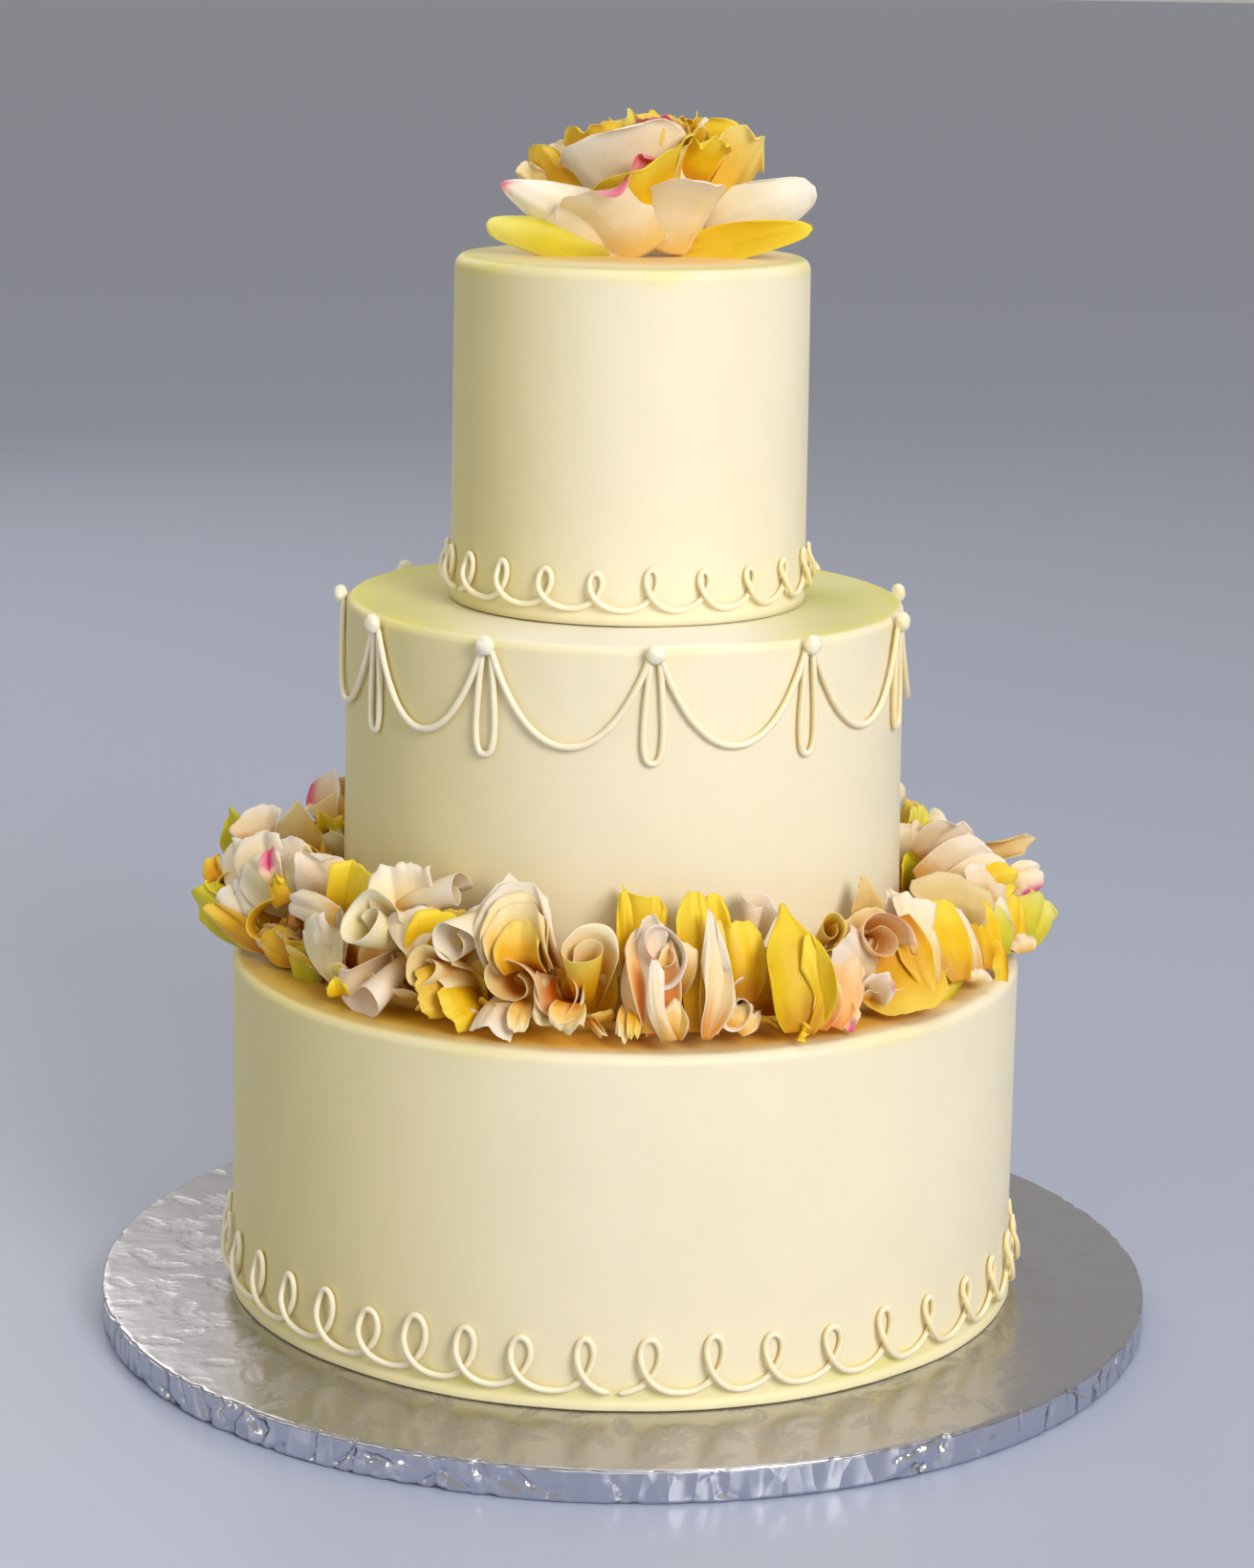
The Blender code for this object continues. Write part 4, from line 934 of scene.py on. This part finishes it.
# Open petals of the ring between, before and behind those
ringLeaves = [
    between((-16, 127, 167), (-17.7, 127, 194), 18.2, 145, "cream", 0.18, 30, footShare=0.8, widest=0.5,
            narrowing=0.3, nick=0.2, ruffle=0.4, face=-14, bow=4),
    between((-76, 130, 163), (-82, 146, 178), 10.5, -40, "grey", 0.18, 10, face=-20),
    between((-78, 135, 156), (-84, 149, 164), 9, -40, "golden", 0.3, 10, face=-20),
    between((-72, 127, 172), (-80, 135, 187), 10.5, -40, "blush", 0.3, 10, face=-20),
    between((-92, 146, 170), (-96, 156, 191), 8.2, 60, "olive", 0.3, 20, narrowing=0.4),
    between((-82, 145, 167), (-88, 153, 182), 9.8, -40, "white", 0.36, 10),
    between((-80, 139, 168), (-84, 141, 189), 12, 30, "white", 0.18, 20, pleat=0.2, fold=2.6),
    between((-74, 137, 174), (-76, 138, 187), 6, 60, "blush", 0.3, 20, rosy=[(-0.2, 0.6, 0.35, 1)]),
    between((-92, 144, 179), (-93, 149, 183), 4.5, 120, "yellow", 0.3, 90),
    between((-92, 141, 183), (-93, 143, 186), 3.8, 120, "yellow", 0.3, 90),
    between((-72, 115, 173), (-80, 132, 188), 9, 150, "yellow", 0.3, 120, footShare=0.5, curl=2.2, face=-40, bow=-2),
    between((-66, 121, 173), (-70, 131, 188), 12.8, -70, "blush", 0.42, 10, footShare=0.9, narrowing=0.6, face=-30),
    between((-72, 132, 171), (-74, 131, 186), 8.2, -60, "grey", 0.42, 10, narrowing=0.5, face=-30),
    between((-80, 145, 153), (-84, 154, 168), 9, -60, "shell", 0.18, 20, face=-36),
    between((-72, 135, 167), (-75, 138, 178), 7.5, -120, "yellow", 0.3, 90, curl=2, face=-20),
    between((-70, 131, 151), (-76, 144, 154), 6.9, -80, "cream", 0.3, 30, face=-30),
    between((-52.5, 134, 173), (-68, 136, 170), 8.1, -120, "white", 0.14, 30, curl=2.6, face=-30, fold=1.8),
    between((-51.4, 134, 157), (-55.9, 134, 173), 7.5, -50, "white", 0.12, 20, narrowing=0, footShare=0.3, face=-10),
    between((-68, 132, 148), (-74, 143, 155), 7.5, -50, "golden", 0.24, 20, face=-30),
    between((-60, 128, 148), (-66, 136, 153), 10.5, -50, "olive", 0.24, 20, face=-28),
    between((-78, 143, 150), (-88, 167, 162), 9.8, -60, "olive", 0.18, 20, face=-40),
    between((-76, 140, 148), (-84, 162, 159), 6, -60, "golden", 0.36, 20, face=-36),
    between((-118, 133, 170), (-118, 135, 196), 11.2, 90, "blush", 0.3, 20, rosy=[(-0.9, 0.25, 0.3, 0.8)], deep=0.7),
    between((-110, 117, 170), (-106, 132, 178), 8.2, -60, "olive", 0.3, 40, face=-40),
    between((-104, 113, 165), (-100, 127, 174), 10.5, -40, "grey", 0.3, 20, face=-40),
    between((-88, 156, 165), (-90, 160, 175), 5.2, 60, "golden", 0.3, 20),
    between((-33.6, 136, 166), (-37.6, 127, 182), 10.6, -60, "white", 0.03, 10, footShare=0.1, narrowing=0, widest=1),
    between((-33.6, 128, 159), (-30.9, 126, 183), 12.5, 110, "yellow", 0.12, 30, side=90),
    between((-30.7, 124, 162), (-29.1, 122, 183), 8.8, -60, "golden", 0.14, 20),
    between((-26.4, 128, 158), (-30.6, 145, 157), 10.6, -70, "golden", 0.14, 10, nick=0.9, ruffle=1.2, side=20),
    between((-23.9, 130, 155), (-25.9, 145, 152), 9.4, -60, "yellow", 0.14, 10, nick=0.5, fold=2),
    between((-25.2, 124, 158), (-27.7, 140, 160), 8.8, -110, "cream", 0.14, 10),
    between((-18.8, 131, 157), (-19.1, 146, 148), 8.8, -90, "blush", 0.03, 20, footShare=0.3, widest=1, narrowing=0),
    between((-15.6, 134, 157), (-15.2, 146, 149), 4.4, 60, "cream", 0.14, 30),
    between((-16.2, 117, 173), (-23.6, 128, 190), 13.8, -100, "white", 0.06, 10, footShare=0.7, narrowing=0,
            face=-20),
    between((-46.6, 140, 148), (-45.8, 146, 155), 4.4, 60, "yellow", 0.14, 20),
    between((-2.4, 122, 150), (-2.6, 122, 176), 9.4, -70, "ivory", 0.14, 20),
    between((-10.4, 122, 151), (-12.3, 124, 172), 8.8, -60, "golden", 0.14, 20),
    between((-8.1, 141, 159), (-8, 149, 151), 7.5, 90, "cream", 0.18, 60, nick=1, ruffle=1.6, footShare=0.7),
    between((2.6, 117, 166), (4.4, 117, 192), 6.2, -60, "yellow", 0.18, 20),
    between((-0.1, 126, 165), (-0.9, 120, 195), 3.2, 60, "yellow", 0.24, 10),
    between((4.8, 140, 148), (2.6, 128, 184), 11.2, 110, "peach", 0.18, 10, face=10, deep=0.8),
    between((5.8, 148, 148), (3.6, 146, 177), 3.5, -80, "white", 0.18, 20, sway=-2.5, twist=-20, footShare=0.8),
    between((6.4, 146, 148), (6.7, 143, 162), 6.2, 110, "cream", 0.3, 20, narrowing=0.5),
    between((6.5, 132, 160), (7.9, 134, 180), 8.1, 90, "cream", 0.14, 30),
    between((0.1, 132, 157), (-0.6, 146, 148), 3.2, 60, "cream", 0.14, 20, nick=0.8),
    between((1.2, 134, 157), (0.9, 147, 149), 2.8, 70, "butter", 0.14, 20, nick=0.8),
    between((-6.5, 128, 152), (-3, 146, 149), 1.8, 50, "amber", 0.14, 10),
    between((14.9, 121, 163), (14.5, 119, 193), 6.2, 70, "yellow", 0.24, 40),
    between((11.6, 144, 149), (13.9, 127, 186), 6.2, 70, "butter", 0.36, 10, face=15),
    between((15.2, 144, 150), (17.9, 138, 157), 7.5, -70, "cream", 0.14, 40, nick=1.8),
    between((23.3, 124, 156), (22.1, 122, 173), 7.5, 60, "golden", 0.14, 20),
    between((25.2, 150, 148), (26.9, 140, 182), 3.8, -100, "yellow", 0.36, 10, sway=5),
    between((24.8, 146, 148), (25.2, 150, 148), 3.8, 60, "yellow", 0.14, 10),
    between((40.8, 126, 151), (33.6, 130, 169), 10, -60, "blush", 0.14, 20),
    between((33.2, 138, 150), (32.9, 147, 148), 6.2, 100, "peach", 0.14, 40, rosy=[(0.3, 0.6, 0.75, 0.9)]),
    between((44.3, 128, 154), (34.4, 134, 175), 10, -80, "blush", 0.06, 30),
    between((40.3, 132, 153), (40.7, 143, 162), 7.5, 110, "blush", 0.14, 20, rosy=[(0.6, 0.4, 0.8, 0.5)]),
    between((49, 114, 172), (48.3, 114, 190), 7, 50, "tan", 0.42, 10, narrowing=0.5),
    between((47.6, 117, 161), (44.8, 119, 180), 10, 60, "tan", 0.12, 20),
    between((57.7, 116, 169), (54.4, 117, 183), 5.2, 60, "white", 0.3, 50, nick=1.8),
    between((58.1, 118, 167), (57.6, 119, 177), 4.5, -60, "white", 0.3, 30, nick=1.8),
    between((50.4, 128, 177), (49, 147, 148), 6.9, -40, "golden", 0.36, 10, face=20, narrowing=0.6),
    between((49.7, 143, 153), (53.6, 134, 173), 6.2, -90, "cream", 0.24, 10, face=20),
    between((63, 141, 152), (66, 129, 172), 5.1, -70, "cream", 0.24, 10, face=25),
    between((66, 142, 149), (69, 130, 172), 4.5, -70, "white", 0.24, 10, face=25),
    between((76, 144, 150), (79, 137, 168), 10.5, -60, "lemon", 0.18, 20, face=30),
    between((68, 139, 150), (71, 126, 172), 9, -60, "golden", 0.18, 10, face=25),
    between((60, 141, 148), (59, 136, 152), 9, -50, "lemon", 0.3, 10, nick=1.2, footShare=0.7),
    between((63, 143, 148), (64, 142, 153), 9, -50, "white", 0.3, 10, nick=1.2, footShare=0.2),
    between((74, 148, 148), (72, 143, 148), 10.5, -50, "yellow", 0.3, 10, nick=1.2),
    between((82, 153, 148), (84, 148, 154), 7.5, -50, "white", 0.24, 10, nick=2.4),
    between((78, 144, 152), (82, 140, 170), 8.2, -50, "grey", 0.3, 20, face=34),
    between((82, 146, 148), (85, 147, 168), 9, -60, "yellow", 0.3, 20, face=34),
    between((80, 137, 169), (84, 138, 180), 12, -50, "blush", 0.3, 20, face=34),
    between((86, 120, 167), (88, 146, 175), 10.5, -50, "white", 0.18, 20, face=40),
    between((90, 111, 168), (90, 140, 181), 12, -50, "blush", 0.18, 20, face=40),
    between((82, 133, 173), (85, 148, 175), 7.5, -50, "yellow", 0.24, 20, face=40),
    between((108, 116, 172), (112, 125, 189), 9.8, 60, "lemon", 0.3, 30),
    between((106, 114, 168), (106, 115, 186), 10.5, -50, "white", 0.3, 30),
    between((98, 110, 162), (98, 111, 178), 9, 60, "olive", 0.3, 20),
    between((96, 113, 175), (92, 130, 190), 12, -60, "blush", 0.3, 30, rosy=[(0.8, 0.3, 0.7, 0.6)], face=40),
    between((94, 132, 178), (96, 158, 183), 8.4, 200, "tan", 0.3, 50, footShare=0.5, curl=1.6, face=50),
    between((88, 144, 171), (90, 159, 173), 7.5, -60, "white", 0.3, 20, rosy=[(0.9, 0.5, 0.3, 1)], face=40),
]
outer = [petal for petal in ringLeaves if abs(petal["foot"][0]) > 57]  # in turn creased and pointed
for petal in outer[0::2]:
    petal.setdefault("fold", 2.4)
for petal in outer[1::2]:
    petal.setdefault("point", 1.3)


def fillerPetals():
    # behind and under the petals that show, and all round the far half: seeded draws of upright
    # petals against the tier, low ones on the ledge, and rolls
    draw = np.random.default_rng(41)
    front = ["golden", "cream", "yellow", "amber", "butter", "peach"]
    tints = ["yellow", "golden", "cream", "white", "butter", "blush", "lemon", "peach", "coneYellow", "ivory",
             "amber"]
    pick = lambda styles, count: styles[int(draw.integers(0, count))]
    made = []
    for azimuth in np.arange(-96, 98, 5.2):
        at, style = azimuth + draw.uniform(-1.5, 1.5), pick(front, 6)
        top = draw.uniform(162, 176)
        made.append(leaf((at, 117 + draw.uniform(0, 4), 147), (at + draw.uniform(-4, 4), 126, top), 11,
                         draw.choice([-60, 60]), style, roll=40, tip=0.3))
        made.append(leaf((at + 2.5, 126, 148), (at + draw.uniform(-3, 8), 138, draw.uniform(152, 158)), 8,
                         draw.choice([-60, 70]), pick(front, 5), roll=30, tip=0.3, nick=1.2))
    for i, azimuth in enumerate(np.arange(101, 260, 4.6)):
        at, kind = azimuth + draw.uniform(-1.2, 1.2), i % 4
        style = pick(tints, len(tints))
        if kind == 0:
            made.append(row((at, 124, 156), (at + draw.uniform(-5, 5), 145, draw.uniform(152, 164)),
                            (3.5, draw.uniform(9, 11)), 400, style, spin=draw.uniform(0, 360)))
        elif kind == 2:
            made.append(row((at, 117, 166), (at + draw.uniform(-5, 5), 138, draw.uniform(178, 190)),
                            (3, draw.uniform(9.5, 11.5)), 430, style, spin=draw.uniform(0, 360)))
        else:
            mouth = at + draw.uniform(-6, 6), draw.uniform(121, 132), draw.uniform(174, 194)
            made.append(leaf((at, 124, 148), mouth, draw.uniform(8, 11), draw.choice([-80, -60, 60, 100]), style,
                             tip=0.3, roll=draw.uniform(30, 80)))
        made.append(leaf((at + 2.3, 116, 148), (at + 2.3, 121, draw.uniform(176, 192)), 10.5, -50, pick(tints, 6),
                         tip=0.3))
        made.append(leaf((at + 1.2, 130, 149), (at + draw.uniform(-6, 6), 147, draw.uniform(150, 160)), 9,
                         draw.choice([-60, 70]), pick(tints, 8), tip=0.3, roll=30, nick=1.2))
    return [{**petal, "along": 16, "across": 14} for petal in made]


betweenParts = {"a": (0, 60), "b": (60, 150), "c": (150, 240), "d": (240, 315), "e": (315, 360)}  # azimuths
extraSkins = []
for i, petal in enumerate(ringLeaves + fillerPetals()):
    petal["seed"] = 5000 + 17 * i
    extraSkins.append((petal["foot"][0] % 360, petalSkins(petal)))
for part, (low, high) in betweenParts.items():
    chosen = [skin for azimuth, skins in extraSkins if low <= azimuth < high for skin in skins]
    putPiece("ring_between_" + part, chosen, petalFlesh)
print("petals between done")

# Rose: placed from its middle on the highest tier, azimuth, radius and height
roseCentre = np.array([tierLook["tier_top"]["shift"] + 7.4 * mm, 0.0, tierLook["tier_top"]["level"]])
rosePetals = {
    "rose_front_left": leaf((-14, 10, 1), (-36, 37, 26), 26, 110, "shell", footShare=0.35, roll=70, curl=3.4,
        side=150, edgeFrom=0.8, bow=4, face=-22, tip=0.12, rosy=[(-0.85, 0.3, 0.45, 0.8), (-0.3, 0.45, 0.86, 0.7)]),
    "rose_front_right": leaf((34, 9, 1), (32, 36, 30), 17, 90, "shell", footShare=0.4, roll=40, bow=4, face=22,
        tip=0.3),
    "rose_left": leaf((-70, 8, 3), (-76, 58, 27), 14, 60, "shell", footShare=0.5, roll=30, face=-40, bow=-3, tip=0.6,
        point=1.6, rosy=[(0, 0.2, 0.97, 0.7)]),
    "rose_left_low": leaf((-72, 12, 1), (-77, 63, 11), 9, 60, "lemon", footShare=0.5, roll=20, face=-30, bow=-2,
        tip=0.5),
    "rose_right": leaf((96, 12, 6), (90, 60, 25), 13, 60, "shell", footShare=0.5, roll=40, face=30, bow=-3, tip=0.45),
    "rose_right_low": leaf((60, 8, 1), (78, 60, 12), 7.5, -60, "limeCup", deep=0.25, footShare=0.55, roll=60, face=20,
        bow=2, tip=0.45, curl=3),
    "rose_inner_cream": leaf((-4, 8, 8), (-48, 31, 44), 30, 110, "shell", footShare=0.5, roll=50, bow=5, face=-26,
        tip=0.2, curl=3),
    "rose_inner_yellow": leaf((50, 10, 8), (2, 31, 37), 30, 120, "yellow", footShare=0.5, roll=40, bow=5, face=18,
        tip=0.3),
    "rose_right_tall": leaf((83, 16, 7), (84, 37, 47), 13, 80, "butter", footShare=0.4, roll=70, side=110, bow=3,
        face=34, tip=0.25),
    "rose_back_left": leaf((-98, 30, 14), (-100, 46, 39), 9, 60, "golden", footShare=0.4, roll=40, face=-40, tip=0.3),
    "rose_back": leaf((172, 8, 4), (172, 40, 36), 20, 90, "cream", bend=30, tip=0.25, face=172, bow=4),
    "rose_heart": row((0, 0, 16), (-60, 4, 50), (3.5, 15), 520, "butter", ruffle=1.4, nick=1.8, spin=180),
}
roseExtras = [
    leaf((-90, 17, 26), (-77, 27, 48), 14, 70, "golden", roll=50, face=-30, nick=1.4, tip=0.2),
    leaf((28, 2, 32), (14, 7, 50.5), 13, 80, "peach", roll=40, face=0, nick=1, tip=0.25, rosy=[(0, 0.9, 0.72, 1)]),
    leaf((-125, 10, 35), (-106, 15, 49.5), 9, 70, "lemon", roll=60, face=-20, nick=2, ruffle=1.8),
    leaf((165, 8, 35), (163, 6, 50), 9, 70, "yellow", roll=60, face=10, nick=2, ruffle=1.8),
    leaf((126, 14, 35), (126, 14, 51), 8, 70, "golden", roll=60, face=20, nick=2, ruffle=1.8),
    leaf((75, 15, 27), (63, 26, 44), 10, 80, "yellow", roll=60, face=25, nick=1.4, tip=0.2),
    leaf((90, 11, 32), (76, 17, 47), 9, 80, "golden", roll=50, face=20, nick=1.4),
    leaf((114, 20, 23), (108, 32, 48), 16, 60, "yellow", roll=40, face=20, tip=0.2),
    leaf((-115, 29, 17), (-114, 40, 40), 9, 60, "white", roll=40, face=-20, tip=0.3),
    leaf((-102, 39, 17), (-101, 50, 32), 6, 60, "cream", roll=40, face=-40, tip=0.3),
    leaf((105, 16, 42), (102, 19, 50), 1.6, 60, "white", roll=10, tip=0.6),
    leaf((125, 10, 8), (122, 40, 42), 18, 85, "yellow", face=125, bow=4),
    leaf((-170, 6, 12), (-170, 24, 46), 18, 90, "butter", face=190, bow=4),
    leaf((-135, 10, 6), (-132, 42, 34), 17, 85, "white", face=-135, bow=4),
    leaf((-160, 18, 3), (-160, 55, 14), 14, 60, "white", face=-160, tip=0.45),
    leaf((140, 18, 3), (140, 56, 14), 14, 60, "lemon", face=140, tip=0.45),
    leaf((170, 3, 18), (170, 14, 51), 12, 120, "golden", face=170, nick=1.8),
]
putPetals(rosePetals, 9000, 23, roseCentre)
roseSkins = []
for i, petal in enumerate(roseExtras):
    petal["seed"] = 9700 + 29 * i
    roseSkins += petalSkins(petal, roseCentre)
putPiece("rose_between", roseSkins, petalFlesh)
print("rose done")

# Camera: where it stands, how far it looks down, turn and roll in radians, lens in millimetres
cameraLook = {"place": (0.0, -1.3793, 0.5182), "down": 0.2227, "turn": 0.001, "roll": 0.0164, "lens": 85.12}


def turnedTo(right, up, ahead):
    # the turn that points a camera or lamp ahead, from the three directions of its frame
    return Matrix(np.column_stack([right, up, -np.asarray(ahead)]).tolist()).to_euler()


def addCamera():
    look = cameraLook
    data = bpy.data.cameras.new("camera")
    data.lens, data.sensor_width = look["lens"], 36.0
    data.clip_start, data.clip_end = 0.01, 100.0
    camera = bpy.data.objects.new("camera", data)
    turn, down, roll = look["turn"], look["down"], look["roll"]
    right = np.array([math.cos(turn), math.sin(turn), 0.0])
    level = np.array([-math.sin(turn), math.cos(turn), 0.0])
    ahead = level * math.cos(down) + np.array([0, 0, -1.0]) * math.sin(down)
    up = np.cross(right, ahead)
    right, up = right * math.cos(roll) + up * math.sin(roll), -right * math.sin(roll) + up * math.cos(roll)
    camera.rotation_euler = turnedTo(right, up, ahead)
    camera.location = look["place"]
    bpy.context.scene.collection.objects.link(camera)
    bpy.context.scene.camera = camera


# Studio: a pale floor and soft lights, each (place, aim, size, strength)
studio = {
    "floor": "aeb6d0",
    "floorRoughness": 0.42,
    "lights": {"key": ((1.15, -1.95, 1.3), (0, 0, 0.25), 1.1, 42.0),
               "fill": ((-1.9, -1.0, 0.9), (0, 0, 0.22), 1.4, 6.0),
               "overhead": ((0.2, 0.1, 2.2), (0, 0, 0.2), 1.6, 9.0),
               "behind": ((-0.9, 1.8, 1.3), (0, 0, 0.3), 1.2, 8.0)},
    "warmth": (1.0, 0.96, 0.88),
    "sky": ("ece8e0", 0.5),
}


def addStudio():
    mesh = bpy.data.meshes.new("floor")
    mesh.from_pydata([(-40, -40, 0), (40, -40, 0), (40, 40, 0), (-40, 40, 0)], [], [(0, 1, 2, 3)])
    made, tree, shader = newFinish("floor_pale")
    assign(shader, {"Base Color": (*paint(studio["floor"]), 1.0), "Roughness": studio["floorRoughness"]})
    mesh.materials.append(made)
    floor = bpy.data.objects.new("floor", mesh)
    bpy.context.scene.collection.objects.link(floor)
    for name, (place, aim, size, strength) in studio["lights"].items():
        data = bpy.data.lights.new(name, "AREA")
        data.shape, data.size, data.energy = "DISK", size, strength
        data.color = studio["warmth"]
        lamp = bpy.data.objects.new(name, data)
        ahead = np.array(aim) - np.array(place)
        ahead /= np.linalg.norm(ahead)
        side = np.cross(ahead, [0, 0, 1.0])
        side /= np.linalg.norm(side)
        lamp.rotation_euler = turnedTo(side, np.cross(side, ahead), ahead)
        lamp.location = place
        bpy.context.scene.collection.objects.link(lamp)
    world = bpy.data.worlds.new("sky")
    world.use_nodes = True
    colour, strength = studio["sky"]
    assign(world.node_tree.nodes["Background"], {"Color": (*paint(colour), 1.0), "Strength": strength})
    bpy.context.scene.world = world
    bpy.context.scene.view_settings.view_transform = "Standard"  # keeps the yellows as full as they are


addCamera()
addStudio()
print("camera and studio ready")
